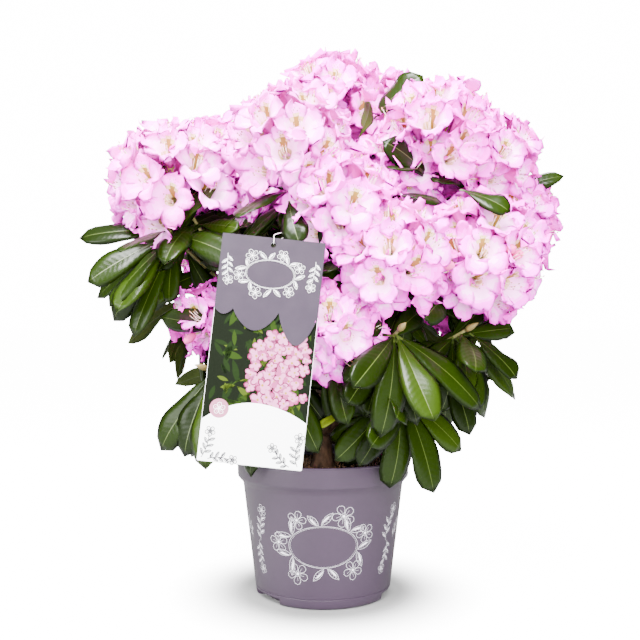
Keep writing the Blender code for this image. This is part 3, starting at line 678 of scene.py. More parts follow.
def add_inner_leaves(end, twigs, space, rng):
    """Last year's leaves along the shoot, which darken the crown's inside."""
    line = next(points for points, _, _ in twigs[end["mass"]][1:]
                if (points[-1] - end["centre"]).length < 0.02)
    for index in range(INNER_LEAVES):
        root, along_way = along(line, 0.30 + 0.11 * index)
        way = around(along_way, math.radians(rng.uniform(50, 100)), index * GOLDEN_ANGLE)
        leaf = (root, (way + Vector((0, 0, -0.25))).normalized(), along_way,
                LEAF_LENGTH * rng.uniform(0.75, 1.0), LEAF_WIDTH * rng.uniform(0.9, 1.05),
                rng.uniform(0.1, 0.3))
        fit_leaf(end["leaves"], end, space, leaf)


def plan_shrub():
    ends = plan_ends()
    limbs = plan_limbs(ends)
    twigs = plan_twigs(ends, limbs)
    string_line = plan_string(twigs)
    space = Space(ends, limbs, twigs, keep_clear(string_line))
    for number, (name, _, _, _) in enumerate(MASSES):
        rng = random.Random(SEED + number)
        more = random.Random(SEED * 7 + number)
        for end in ends:
            if end["mass"] != name:
                continue
            end["flowers"] = []
            end["inner"] = []
            if end["kind"] == BLOOM:
                pass_flower_draws(end, rng)
                end["flowers"] = plan_flowers(end, space, more)
                end["inner"] = plan_inner_flowers(end, space, more)
            end["leaves"] = plan_leaves(end, space, rng)
            for index in range(FILL_LEAVES):
                way = around(end["way"], math.radians(more.uniform(60, 130)), index * GOLDEN_ANGLE + 1.3)
                way = (way + Vector((0, 0, -0.6 * end["hang"]))).normalized()
                leaf = (end["neck"] - end["way"] * more.uniform(0.0, 0.02), way, end["way"],
                        LEAF_LENGTH * more.uniform(0.72, 0.95), LEAF_WIDTH * more.uniform(0.85, 1.0),
                        more.uniform(0.05, 0.35))
                fit_leaf(end["leaves"], end, space, leaf)
            add_inner_leaves(end, twigs, space, more)
    return {"ends": ends, "limbs": limbs, "twigs": twigs, "string": string_line}


PLAN = {}


# Meshes

# Name of the UV map that the leaves' veins run along
MARKS_LAYER = "place"


def new_object(name, data):
    made = bpy.data.objects.new(name, data)
    bpy.context.scene.collection.objects.link(made)
    return made


class Pile:
    """Points and triangles, with a finish number for each, gathered into one mesh."""

    def __init__(self):
        self.points = []
        self.faces = []
        self.kinds = []
        self.marks = []
        self.count = 0

    def add(self, points, faces, kinds, marks=None):
        self.points.append(points)
        self.faces.append(faces + self.count)
        self.kinds.append(np.broadcast_to(kinds, len(faces)))
        self.marks.append(np.zeros((len(points), 2)) if marks is None else marks)
        self.count += len(points)

    def add_tube(self, line, radii, sides, kind, relief=0.0):
        points, faces, marks = tube_points(line, radii, sides, relief)
        self.add(points, faces, kind, marks)

    def piece(self, name, finishes, smooth=True):
        points = np.concatenate(self.points).astype(np.float32)
        faces = np.concatenate(self.faces).astype(np.int32)
        kinds = np.concatenate(self.kinds).astype(np.int32)
        marks = np.concatenate(self.marks).astype(np.float32)
        mesh = bpy.data.meshes.new(name)
        mesh.vertices.add(len(points))
        mesh.vertices.foreach_set("co", points.ravel())
        mesh.loops.add(faces.size)
        mesh.loops.foreach_set("vertex_index", faces.ravel())
        mesh.polygons.add(len(faces))
        mesh.polygons.foreach_set("loop_start", np.arange(0, faces.size, 3, dtype=np.int32))
        for finish in finishes:
            mesh.materials.append(finish)
        mesh.polygons.foreach_set("material_index", kinds)
        layer = mesh.uv_layers.new(name=MARKS_LAYER)
        layer.data.foreach_set("uv", marks[faces.ravel()].ravel())
        mesh.update(calc_edges=True)
        mesh.validate()
        if smooth:
            mesh.shade_smooth()
        return new_object(name, mesh)


def add_object(name, bm, finish):
    mesh = bpy.data.meshes.new(name)
    bm.to_mesh(mesh)
    bm.free()
    mesh.materials.append(finish)
    return new_object(name, mesh)


def smooth_off(made, degrees):
    """Smooths the object, but for edges sharper than so many degrees."""
    made.data.shade_smooth()
    made.data.set_sharp_from_angle(angle=math.radians(degrees))


def bake_down(made):
    """Turns the object's modifiers into its plain mesh."""
    bpy.context.view_layer.update()
    graph = bpy.context.evaluated_depsgraph_get()
    mesh = bpy.data.meshes.new_from_object(made.evaluated_get(graph))
    old = made.data
    made.modifiers.clear()
    made.data = mesh
    bpy.data.meshes.remove(old)


def dress(made, nodes):
    """Says which body the piece moves with, which nodes it stands for, and its slot."""
    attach(made, BODY)
    if nodes:
        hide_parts(*nodes)


def grid_faces(rows, columns, ring=False):
    """Triangles of a grid of points; a ring's last column joins its first."""
    row = np.arange(rows - 1)[:, None]
    column = np.arange(columns if ring else columns - 1)[None, :]
    following = (column + 1) % columns
    a = row * columns + column
    b = row * columns + following
    c = (row + 1) * columns + following
    d = (row + 1) * columns + column
    first = np.stack([a, b, c], axis=-1).reshape(-1, 3)
    second = np.stack([a, c, d], axis=-1).reshape(-1, 3)
    return np.stack([first, second], axis=1).reshape(-1, 3)


def grid_places(rows, columns):
    """Row and column of each triangle of a grid."""
    row = np.repeat(np.arange(rows - 1), (columns - 1) * 2)
    return row, np.tile(np.repeat(np.arange(columns - 1), 2), rows - 1)


def point_normals(points, faces):
    one, two, three = (points[faces[:, corner]] for corner in range(3))
    flat = np.cross(two - one, three - one)
    found = np.zeros_like(points)
    for corner in range(3):
        np.add.at(found, faces[:, corner], flat)
    return found / np.maximum(np.linalg.norm(found, axis=1, keepdims=True), 1e-12)


def curve_point(before, here, there, after, t):
    """The point so far from here to there on a smooth curve through all four."""
    return 0.5 * ((2 * here) + (there - before) * t
                  + (2 * before - 5 * here + 4 * there - after) * t * t
                  + (3 * here - before - 3 * there + after) * t ** 3)


def smooth_line(points, radii, step):
    """A finer line through the points, with its radii."""
    fine, wide = [], []
    count = len(points)
    for index in range(count - 1):
        before = points[max(index - 1, 0)]
        here, there = points[index], points[index + 1]
        after = points[min(index + 2, count - 1)]
        parts = max(2, round((there - here).length / step))
        for part in range(parts):
            t = part / parts
            fine.append(curve_point(before, here, there, after, t))
            wide.append(radii[index] + (radii[index + 1] - radii[index]) * t)
    fine.append(points[-1].copy())
    wide.append(radii[-1])
    return fine, wide


def tube_points(line, radii, sides, relief=0.0):
    """Points and triangles of a round limb, with the bark's ridges where relief is given."""
    tangent = (line[1] - line[0]).normalized()
    across = tangent.orthogonal().normalized()
    points = []
    marks = []
    run = 0.0
    for index, (point, radius) in enumerate(zip(line, radii)):
        turned_way = (line[min(index + 1, len(line) - 1)] - line[max(index - 1, 0)]).normalized()
        across = tangent.rotation_difference(turned_way) @ across
        tangent = turned_way
        other = tangent.cross(across)
        if index:
            run += (point - line[index - 1]).length
        for side in range(sides):
            angle = math.tau * side / sides
            out = across * math.cos(angle) + other * math.sin(angle)
            size = radius
            if relief:
                spot = Vector((out.x * 2.2, out.y * 2.2, run * 45)) + point * 8
                size += relief * (noise.noise(spot) + 0.55 * noise.noise(spot * 2.7))
            points.append(point + out * size)
            marks.append((side / sides, run))
    faces = grid_faces(len(line), sides, ring=True)
    ends = []
    for ring, tip, flip in ((0, line[0], True), (len(line) - 1, line[-1], False)):
        centre = len(points)
        points.append(tip.copy())
        marks.append((0.0, 0.0))
        for side in range(sides):
            one, two = ring * sides + side, ring * sides + (side + 1) % sides
            ends.append((centre, two, one) if flip else (centre, one, two))
    faces = np.concatenate([faces, np.array(ends)])
    return np.array([tuple(point) for point in points]), faces, np.array(marks)


# Finishes

def new_finish(name):
    """An empty finish: the material, its node tree and its shader."""
    made = bpy.data.materials.new(name)
    made.use_nodes = True
    return made, made.node_tree, made.node_tree.nodes["Principled BSDF"]


def add_node(tree, kind, **values):
    """A node with its inputs set; an underscore stands for the blank in an input's name."""
    made = tree.nodes.new(kind)
    set_inputs(made, **values)
    return made


def set_inputs(node, **values):
    for name, value in values.items():
        node.inputs[name.replace("_", " ")].default_value = value


def wire(tree, *rows):
    """Links each row's node and output to its other node and input."""
    for source, output, sink, taken in rows:
        tree.links.new(source.outputs[output], sink.inputs[taken])


def plain(name, colour, roughness, bump=0.0, scale=300.0, coat=0.0, shine=0.5):
    """A finish with one base colour and a fine uneven surface."""
    made, tree, shader = new_finish(name)
    set_inputs(shader, Base_Color=(*colour, 1.0), Roughness=roughness, Coat_Weight=coat,
               Coat_Roughness=0.25, Specular_IOR_Level=shine)
    if bump:
        place = add_node(tree, "ShaderNodeTexCoord")
        grain = add_node(tree, "ShaderNodeTexNoise", Scale=scale, Detail=2.0)
        relief = add_node(tree, "ShaderNodeBump", Strength=bump, Distance=0.0004)
        wire(tree, (place, "Object", grain, "Vector"), (grain, "Fac", relief, "Height"),
             (relief, "Normal", shader, "Normal"))
    return made


def leaf_finish(name, colour, roughness, coat):
    """A leaf's blade: one base colour, with side veins as relief along its own UV map."""
    made = plain(name, colour, roughness, coat=coat, shine=0.13)
    tree = made.node_tree
    place = add_node(tree, "ShaderNodeUVMap")
    place.uv_map = MARKS_LAYER
    veins = add_node(tree, "ShaderNodeTexWave", Scale=4.5, Distortion=1.6, Detail=1.0)
    veins.wave_type = "BANDS"
    veins.bands_direction = "Y"
    relief = add_node(tree, "ShaderNodeBump", Strength=0.14, Distance=0.0007)
    wire(tree, (place, "UV", veins, "Vector"), (veins, "Fac", relief, "Height"),
         (relief, "Normal", tree.nodes["Principled BSDF"], "Normal"))
    return made


def mixed(name, dark, light, scale, stretch=(1, 1, 1), roughness=(0.5, 0.7), bump=0.3, depth=0.001,
          spread=(0.35, 0.65)):
    """A finish whose colour and roughness wander between two values by a noise over the piece."""
    made, tree, shader = new_finish(name)
    place = add_node(tree, "ShaderNodeTexCoord")
    scaled = add_node(tree, "ShaderNodeMapping", Scale=stretch)
    grain = add_node(tree, "ShaderNodeTexNoise", Scale=scale, Detail=6.0, Roughness=0.62)
    ramp = add_node(tree, "ShaderNodeValToRGB")
    for element, position, colour in zip(ramp.color_ramp.elements, spread, (dark, light)):
        element.position = position
        element.color = (*colour, 1.0)
    rough = add_node(tree, "ShaderNodeMapRange", To_Min=roughness[0], To_Max=roughness[1])
    relief = add_node(tree, "ShaderNodeBump", Strength=bump, Distance=depth)
    wire(tree, (place, "Object", scaled, "Vector"), (scaled, "Vector", grain, "Vector"),
         (grain, "Fac", ramp, "Fac"), (ramp, "Color", shader, "Base Color"),
         (grain, "Fac", rough, "Value"), (rough, "Result", shader, "Roughness"),
         (grain, "Fac", relief, "Height"), (relief, "Normal", shader, "Normal"))
    return made


def shade(colour, factor, towards=(1.0, 1.0, 1.0), share=0.0):
    """The colour made brighter by the factor and mixed by the share with another."""
    return tuple(min(1.0, part * factor * (1 - share) + other * share)
                 for part, other in zip(colour, towards))


# Flowers

PETALS = 5
# The throat finish is the upper petal's own yellow-olive round its blotch, and painted shade in the
# funnel's depth
THROAT_AND_DEPTH_SHADE, HEART, BLUSH, PINK, EDGE, TUBE, BACK, BLOTCH, SPECK = range(9)
# Rows along a petal and points across it, for flowers in view and for those within the truss
FINE = (7, 7)
COARSE = (5, 4)
TUBE_RINGS = ((0.10, -1.25), (0.14, -0.88), (0.23, -0.56), (0.36, -0.34))
PETAL_THICKNESS = 0.016
# Each finish's own deeper one, for one flower in every so many
DEEPER = np.array((THROAT_AND_DEPTH_SHADE, BLUSH, PINK, EDGE, EDGE, TUBE, BACK, BLOTCH, SPECK))
DEEPER_EVERY = 4


def weld(points, faces, marks=None):
    """Joins points that coincide, so that a sheet's two sides share their rim."""
    _, first, where = np.unique(np.round(points * 1e6).astype(np.int64), axis=0,
                                return_index=True, return_inverse=True)
    faces = where.ravel()[faces]
    kept = (faces[:, 0] != faces[:, 1]) & (faces[:, 1] != faces[:, 2]) & (faces[:, 0] != faces[:, 2])
    return points[first], faces, kept, None if marks is None else marks[first]


def corolla(rng, openness, detail):
    """One flower of radius 1: mouth at the origin, facing +Z, with its blotched lobe towards +Y."""
    rows, columns = detail
    steps = (columns - 1) * 5
    lobe_angle = math.tau / 5
    turn = math.pi / 2 - lobe_angle / 2
    angles = turn + math.tau * np.arange(steps) / steps
    fluted = np.cos(5 * (angles - turn))
    rings = []
    for step, (radius, depth) in enumerate(TUBE_RINGS):
        bent = radius * (1 - 0.07 * fluted * (step in (1, 2)))
        heights = np.full(steps, depth)
        rings.append(np.stack([np.cos(angles) * bent, np.sin(angles) * bent, heights], axis=1))
    points = [np.concatenate(rings)]
    faces = [grid_faces(len(TUBE_RINGS), steps, ring=True)[:, ::-1]]
    ring, column = grid_places(len(TUBE_RINGS), steps + 1)
    # The funnel's two deepest rings take the throat's olive colour all round: painted shade in the
    # funnel's depth
    kinds = np.where(ring < 2, THROAT_AND_DEPTH_SHADE, HEART)
    upper = (column > 0) & (column < columns - 2)
    kinds = np.where(upper & (ring >= 1), BLOTCH, kinds)
    fronts, backs = [kinds], [np.full(len(kinds), TUBE)]
    free = [np.zeros(len(points[0]), bool)]
    free[0][:steps] = True
    count = len(points[0])
    for lobe in range(5):
        angle = turn + lobe_angle * (lobe + 0.5)
        sheet, front, back, rim = lobe_sheet(lobe, angle, rng, openness, detail)
        if lobe == 0 and detail == FINE:
            spots, spot_faces = freckles(sheet.reshape(rows, columns, 3), rng)
        points.append(sheet)
        faces.append(grid_faces(rows, columns)[:, ::-1] + count)
        fronts.append(front)
        backs.append(back)
        free.append(rim)
        count += len(sheet)
    points, faces = np.concatenate(points), np.concatenate(faces)
    free = np.concatenate(free)
    _, first, where = np.unique(np.round(points * 1e5).astype(np.int64), axis=0,
                                return_index=True, return_inverse=True)
    faces, points = where.ravel()[faces], points[first]
    rim = np.zeros(len(points), bool)
    np.logical_or.at(rim, where.ravel(), free)
    normals = point_normals(points, faces)
    under = points - normals * (PETAL_THICKNESS * ~rim)[:, None]
    both = np.concatenate([points, under])
    faces = np.concatenate([faces, faces[:, ::-1] + len(points)])
    kinds = np.concatenate(fronts + backs)
    both, faces, kept, _ = weld(both, faces)
    faces, kinds = faces[kept], kinds[kept]
    if detail == FINE:
        faces = np.concatenate([faces, spot_faces + len(both)])
        kinds = np.concatenate([kinds, np.full(len(spot_faces), SPECK)])
        both = np.concatenate([both, spots])
    return both, faces, kinds


# Freckles on the upper petal: share of its length, and place across it
FRECKLES = ((0.10, -0.50), (0.14, 0.42), (0.20, -0.22), (0.24, 0.30), (0.31, -0.38), (0.30, 0.04),
            (0.38, 0.24), (0.43, -0.14), (0.50, 0.10), (0.53, -0.30), (0.47, 0.40), (0.62, -0.04))
FRECKLE_RADIUS = 0.024
FRECKLE_RISE = 0.006


def freckles(grid, rng):
    """Small low cones on the petal, with their rims sunk into it."""
    rows, columns, _ = grid.shape
    points, faces = [], []
    for far, beside in FRECKLES:
        row = (far + rng.uniform(-0.02, 0.02)) * (rows - 1)
        column = (beside + rng.uniform(-0.05, 0.05) + 1) / 2 * (columns - 1)
        low, left = int(row), int(column)
        down, right = row - low, column - left
        corners = grid[low:low + 2, left:left + 2]
        middle = ((corners[0, 0] * (1 - right) + corners[0, 1] * right) * (1 - down)
                  + (corners[1, 0] * (1 - right) + corners[1, 1] * right) * down)
        along_petal = corners[1, 0] - corners[0, 0]
        along_petal = along_petal / np.linalg.norm(along_petal)
        normal = np.cross(along_petal, corners[0, 1] - corners[0, 0])
        normal = normal / np.linalg.norm(normal) * (1 if normal[2] > 0 else -1)
        across = np.cross(normal, along_petal)
        size = FRECKLE_RADIUS * rng.uniform(0.7, 1.2)
        first = len(points)
        for step in range(4):
            angle = math.tau * step / 4
            out = across * math.cos(angle) + along_petal * 1.5 * math.sin(angle)
            points.append(middle + out * size - normal * FRECKLE_RISE)
        points.append(middle + normal * FRECKLE_RISE * 1.6)
        turns = [(first + step, first + (step + 1) % 4, first + 4) for step in range(4)]
        flat = np.cross(points[first + 1] - points[first], points[first + 4] - points[first])
        faces += turns if flat.dot(normal) > 0 else [face[::-1] for face in turns]
    return np.array(points), np.array(faces)


def lobe_sheet(lobe, angle, rng, openness, detail):
    """A ruffled petal from the funnel's edge to its tip: points, finishes of both faces, and its rim."""
    rows, columns = detail
    t = np.linspace(0, 1, rows)[:, None] ** 0.85
    s = np.linspace(-1, 1, columns)[None, :]
    reach = (0.74 + 0.28 * openness) * rng.uniform(0.88, 1.08)
    tip = 0.36 - 0.46 * openness + rng.uniform(-0.22, 0.16)
    middle = (0.53 + 0.10 * openness, 0.02 + rng.uniform(-0.04, 0.06))
    radius = (1 - t) ** 2 * 0.36 + 2 * t * (1 - t) * middle[0] + t ** 2 * reach
    depth = -(1 - t) ** 2 * 0.34 + 2 * t * (1 - t) * middle[1] + t ** 2 * tip
    wide = rng.uniform(0.44, 0.54) * (0.84 + 0.16 * openness)
    past = np.maximum(0.0, t - 0.58) / 0.43
    half = np.where(t < 0.58, 0.226 + (wide - 0.226) * np.sin(math.pi / 2 * np.minimum(t / 0.58, 1)),
                    wide * np.sqrt(np.maximum(0.0, 1 - past ** 2.4)))
    phases = [rng.uniform(0, math.tau) for _ in range(4)]
    ruffle = t ** 1.5 * (0.30 + 0.70 * np.abs(s)) * (0.115 * np.sin(3.6 * s + phases[0])
                                                   + 0.105 * np.sin(6.3 * s + phases[1]))
    ruffle = ruffle + 0.115 * s * s * t * np.sin(8.5 * t + phases[2] + 1.5 * s)
    crease = -0.055 * np.exp(-(s / 0.30) ** 2) * np.sin(math.pi * np.minimum(t * 0.9 + 0.05, 1))
    fold = (rng.uniform(-0.09, 0.10) * s * s + rng.uniform(0.05, 0.10) * s) * t
    lift = np.where(t > 0, ruffle + crease + fold, 0.0)
    radius = (radius - 0.055 * t ** 6 * np.exp(-(s / 0.30) ** 2)
              + 0.040 * t * t * np.sin(7 * s + phases[3]))
    radius = np.where(t > 0, radius, 0.36)
    spread = s * np.minimum(math.pi / 5 * (1 + 0.22 * t), half / np.maximum(radius, 0.36))
    turn = angle + spread + rng.uniform(-0.09, 0.09) * t
    points = np.stack([radius * np.cos(turn), radius * np.sin(turn), depth + lift], axis=-1)
    points = points.reshape(-1, 3)
    row, column = grid_places(rows, columns)
    far = (row + 0.5) / (rows - 1)
    side = np.abs(column + 0.5 - (columns - 1) / 2) / ((columns - 1) / 2)
    wander = 0.06 * np.sin(3 * column + phases[0]) + 0.05 * np.sin(5 * row + phases[1])
    depth_of_pink = 0.46 * side ** 1.6 * (0.35 + 0.65 * far) + 0.66 * far ** 1.3 + wander
    front = np.select([depth_of_pink < 0.17, depth_of_pink < 0.36, depth_of_pink < 0.76],
                      [HEART, BLUSH, PINK], EDGE)
    back = np.where(row <= 1, TUBE, np.where(depth_of_pink > 0.80, EDGE, BACK))
    if lobe == 0:
        front = np.where((side < 0.9) & (row == 0) | (side < 0.4) & (row == 1), THROAT_AND_DEPTH_SHADE, front)
        front = np.where((side < 0.4) & (row == 0), BLOTCH, front)
    rim = np.zeros((rows, columns), bool)
    rim[1:, 0] = rim[1:, -1] = rim[-1, :] = True
    return points, front, back, rim.ravel()


# Threads in a flower; the last is the style, which stands in the middle
STAMENS = 6
STAMEN_KINDS = 4


def stamens(rng):
    """The curved threads with their anthers, for a flower of radius 1."""
    pile = Pile()
    for index in range(STAMENS):
        last = index == STAMENS - 1
        angle = math.tau * index / (STAMENS - 1) + rng.uniform(-0.35, 0.35)
        wide = 0.05 if last else rng.uniform(0.10, 0.20)
        top = rng.uniform(-0.22, 0.10) + (0.26 if last else 0.0)
        base = Vector((math.cos(angle) * 0.04, math.sin(angle) * 0.04, -1.05))
        tip = Vector((math.cos(angle) * wide, math.sin(angle) * wide + 0.02, top))
        bow = Vector((math.cos(angle) * wide * 0.9, math.sin(angle) * wide * 0.9 - 0.13, top - 0.40))
        line = [Vector(point) for point in interpolate_bezier(base, base.lerp(bow, 0.8), bow, tip, 4)]
        pile.add_tube(line, taper(0.014, 0.010, 4), 3, 0)
        anther = [tip - Vector((0, 0.01, 0.04)), tip, tip + Vector((0, 0.03, 0.05))]
        pile.add_tube(anther, [0.006, 0.034, 0.008], 3, 2 if last else 1)
    return np.concatenate(pile.points), np.concatenate(pile.faces), np.concatenate(pile.kinds)


def flower_frame(root, mouth, rng):
    """Axes of a flower: its face along the third, its upper lobe along the second."""
    way = (mouth - root).normalized()
    up = Vector((0, 0, 1)) - way * way.z
    if up.length < 0.2:
        up = way.orthogonal()
    up = Matrix.Rotation(rng.uniform(-0.5, 0.5), 3, way) @ up.normalized()
    side = up.cross(way)
    return np.array([tuple(side), tuple(up), tuple(way)])


def set_in(points, axes, size, place):
    return (points * size) @ axes + np.array(tuple(place))


# Each tint's brightness and its share of white: the palest tint is painted light for trusses in full
# light, the darkest is painted shade for trusses within the crown
LIT_AND_SHADED_TINTS = {"pale": (1.0, 0.09), "rosy": (1.0, 0.0), "shaded_deep": (0.90, 0.0)}


def tint_by_light(end):
    """How pale a truss is: the ones in full light are palest, the ones within the crown deepest."""
    _, y, z = end["centre"]
    if end["mass"] in ("front", "left") and z > 0.5:
        return "pale"
    if end["reach"] < 0.068 or (y > 0.12 and z < 0.42):
        return "shaded_deep"
    return "rosy"


def petal_finishes(tint):
    factor, white = LIT_AND_SHADED_TINTS[tint]
    base = tuple(colours().petal)
    petal = shade(base, factor, share=white)
    rows = (("throat_and_depth_shade", (0.66, 0.50, 0.26)), ("heart", shade(petal, 1.0, share=0.44)),
            ("blush", shade(petal, 1.0, share=0.17)), ("pink", shade(petal, 1.0, share=0.03)),
            ("edge", shade(petal, 0.95, towards=(0.84, 0.01, 0.56), share=0.45)),
            ("tube", shade(petal, 1.0, towards=(0.86, 0.10, 0.46), share=0.40)),
            ("back", shade(petal, 1.0, towards=(0.95, 0.16, 0.66), share=0.35)),
            ("blotch", (0.23, 0.155, 0.022)), ("speck", (0.10, 0.040, 0.008)))
    return [plain(f"petal_{tint}_{name}", colour, 0.6, bump=0.15, scale=500, shine=0.2)
            for name, colour in rows]


def make_flowers():
    """The flowers in pieces of one tint each, of no more than so many trusses."""
    variants = [corolla(random.Random(SEED + 31 * index), 1.0 - 0.55 * (index / COROLLAS) ** 1.4, FINE)
                for index in range(COROLLAS)]
    simple = [corolla(random.Random(SEED + 37 * index), 0.8, COARSE) for index in range(SIMPLE_COROLLAS)]
    for tint in LIT_AND_SHADED_TINTS:
        finishes = petal_finishes(tint)
        chosen = [(number, end) for number, end in enumerate(PLAN["ends"])
                  if end["flowers"] and tint_by_light(end) == tint]
        for part in range(0, len(chosen), TRUSSES_PER_PIECE):
            pile = Pile()
            for number, end in chosen[part:part + TRUSSES_PER_PIECE]:
                rng = random.Random(SEED * 3 + number)
                for index, (root, mouth, radius) in enumerate(end["flowers"]):
                    points, faces, kinds = variants[rng.randrange(COROLLAS)]
                    if (7 * index + number) % DEEPER_EVERY == 0:
                        kinds = DEEPER[kinds]
                    axes = flower_frame(root, mouth, rng)
                    squeeze = np.array([1.0, 1.0, rng.uniform(0.90, 1.10)])
                    pile.add(set_in(points * squeeze, axes, radius, mouth), faces, kinds)
                for index, (root, mouth, radius) in enumerate(end["inner"]):
                    points, faces, kinds = simple[index % SIMPLE_COROLLAS]
                    pile.add(set_in(points, flower_frame(root, mouth, rng), radius, mouth), faces, kinds)
            name = f"flowers_{tint}_{1 + part // TRUSSES_PER_PIECE}"
            dress(pile.piece(name, finishes), FOLIAGE_NODES)


def make_stamens():
    """The stamens, which draw the same random numbers as their flowers do."""
    variants = [stamens(random.Random(SEED + 57 * index)) for index in range(STAMEN_KINDS)]
    pile = Pile()
    for number, end in enumerate(PLAN["ends"]):
        rng = random.Random(SEED * 3 + number)
        for index, (root, mouth, radius) in enumerate(end["flowers"]):
            rng.randrange(COROLLAS)
            axes = flower_frame(root, mouth, rng)
            rng.uniform(0.90, 1.10)
            points, faces, kinds = variants[(number + index) % STAMEN_KINDS]
            pile.add(set_in(points, axes, radius, mouth), faces, kinds)
    finishes = [plain("stamen_thread", (0.90, 0.78, 0.62), 0.5, bump=0.1),
                plain("stamen_anther", (0.30, 0.16, 0.07), 0.7, bump=0.3),
                plain("stigma", (0.62, 0.20, 0.14), 0.5, bump=0.2)]
    dress(pile.piece("stamens", finishes), FOLIAGE_NODES)


def make_buds():
    """The closed buds within the trusses, each on its stalk."""
    pile = Pile()
    for number, end in enumerate(PLAN["ends"]):
        if end["kind"] != BLOOM:
            continue
        rng = random.Random(SEED * 5 + number)
        for _ in range(BUDS_PER_TRUSS):
            way = around(end["way"], rng.uniform(0.5, 1.7), rng.uniform(0, math.tau))
            root = end["neck"].lerp(end["centre"], rng.uniform(0.5, 0.9))
            length = rng.uniform(0.016, 0.024)
            foot = end["centre"] + way * (end["reach"] * rng.uniform(0.52, 0.72))
            shape = [foot + way * (length * share) for share in (0.0, 0.12, 0.4, 0.7, 0.92, 1.0)]
            pile.add_tube(shape, [0.0012, 0.0030, 0.0052, 0.0058, 0.0034, 0.0008], 8, 0)
            pile.add_tube([root, root.lerp(foot, 0.5), foot], STALK_RADII, 5, 1)
    finishes = [plain("bud_petal", (0.72, 0.075, 0.32), 0.45, bump=0.2),
                plain("bud_stalk", (0.28, 0.30, 0.08), 0.6)]
    dress(pile.piece("buds", finishes), FOLIAGE_NODES)


# Leaves, twigs and bark

BLADE_THICKNESS = 0.0006
RIB_THICKNESS = 0.0015
LEAF_ROWS = 13
LEAF_COLUMNS = (-1.0, -0.68, -0.34, -0.026, 0.026, 0.34, 0.68, 1.0)


def leaf_mesh(leaf, rng):
    """One leaf with a sunken midrib, rolled edges and an underside.

    Gives its points, triangles and UV, and which triangles are midrib and which underside.
    """
    root, way, upper, length, width, droop = leaf
    side = way.cross(upper).normalized()
    upper = side.cross(way).normalized()
    t = np.linspace(0, 1, LEAF_ROWS)[:, None]
    s = np.array(LEAF_COLUMNS)[None, :]
    blade = np.clip((t - 0.10) / 0.90, 0, 1)
    full = rng.uniform(0.68, 0.98)
    half = width / 2 * 1.56 * blade ** full * np.maximum(0.0, 1 - blade ** 3.0) ** 0.60
    half = np.maximum(half, np.where(t < 0.5, 0.0016, 0.0005))
    wave = rng.uniform(0, math.tau)
    roll = sizes().leaf_bulge * rng.uniform(0.5, 1.9)
    rise = half * (0.34 * np.abs(s) ** 0.8 - (0.30 + roll) * s * s)
    rise = (rise + 0.13 * half * s * s * np.sin(11 * t + wave)
            + 0.10 * half * s * np.sin(7 * t + 2 * wave))
    bend = rng.uniform(-0.07, 0.07)
    twist = rng.uniform(-0.45, 0.45) * t
    sink = -droop * length * t * t - rng.uniform(0.0, 0.10) * length * t ** 5
    across = s * half
    lateral = across * np.cos(twist) + bend * length * t * t
    height = rise + across * np.sin(twist) + sink
    axes = np.array([tuple(side), tuple(way), tuple(upper)])
    local = np.stack([lateral, length * t + 0 * s, height], axis=-1).reshape(-1, 3)
    points = local @ axes + np.array(tuple(root))
    marks = np.stack([s * half * 10 + 0 * t, t * length * 10 - np.abs(s) * half * 6], axis=-1)
    marks = marks.reshape(-1, 2)
    columns = len(LEAF_COLUMNS)
    faces = grid_faces(LEAF_ROWS, columns)[:, ::-1]
    row, column = grid_places(LEAF_ROWS, columns)
    rib = (column == 3) | (row < 1)
    thick = np.full((LEAF_ROWS, columns), BLADE_THICKNESS)
    thick[:, 3:5] = RIB_THICKNESS
    thick[:, 0] = thick[:, -1] = thick[-1, :] = 0.0
    under = points - np.outer(thick.ravel(), tuple(upper))
    both = np.concatenate([points, under])
    faces = np.concatenate([faces, faces[:, ::-1] + len(points)])
    below = np.repeat([False, True], len(rib))
    rib = np.concatenate([rib, rib])
    both, faces, kept, marks = weld(both, faces, np.concatenate([marks, marks]))
    return both, faces[kept], marks, rib[kept], below[kept]


LEAF_SHADES = (("leaf_dark", 0.60, 0.0), ("leaf_green", 1.0, 0.0), ("leaf_light", 1.6, 0.004))
LEAF_RIB, LEAF_UNDER, LEAF_YOUNG = 3, 4, 5
# A leaf narrower than this is a young one
YOUNG_WIDTH = 0.02
PEEPING_DROOP = 0.12


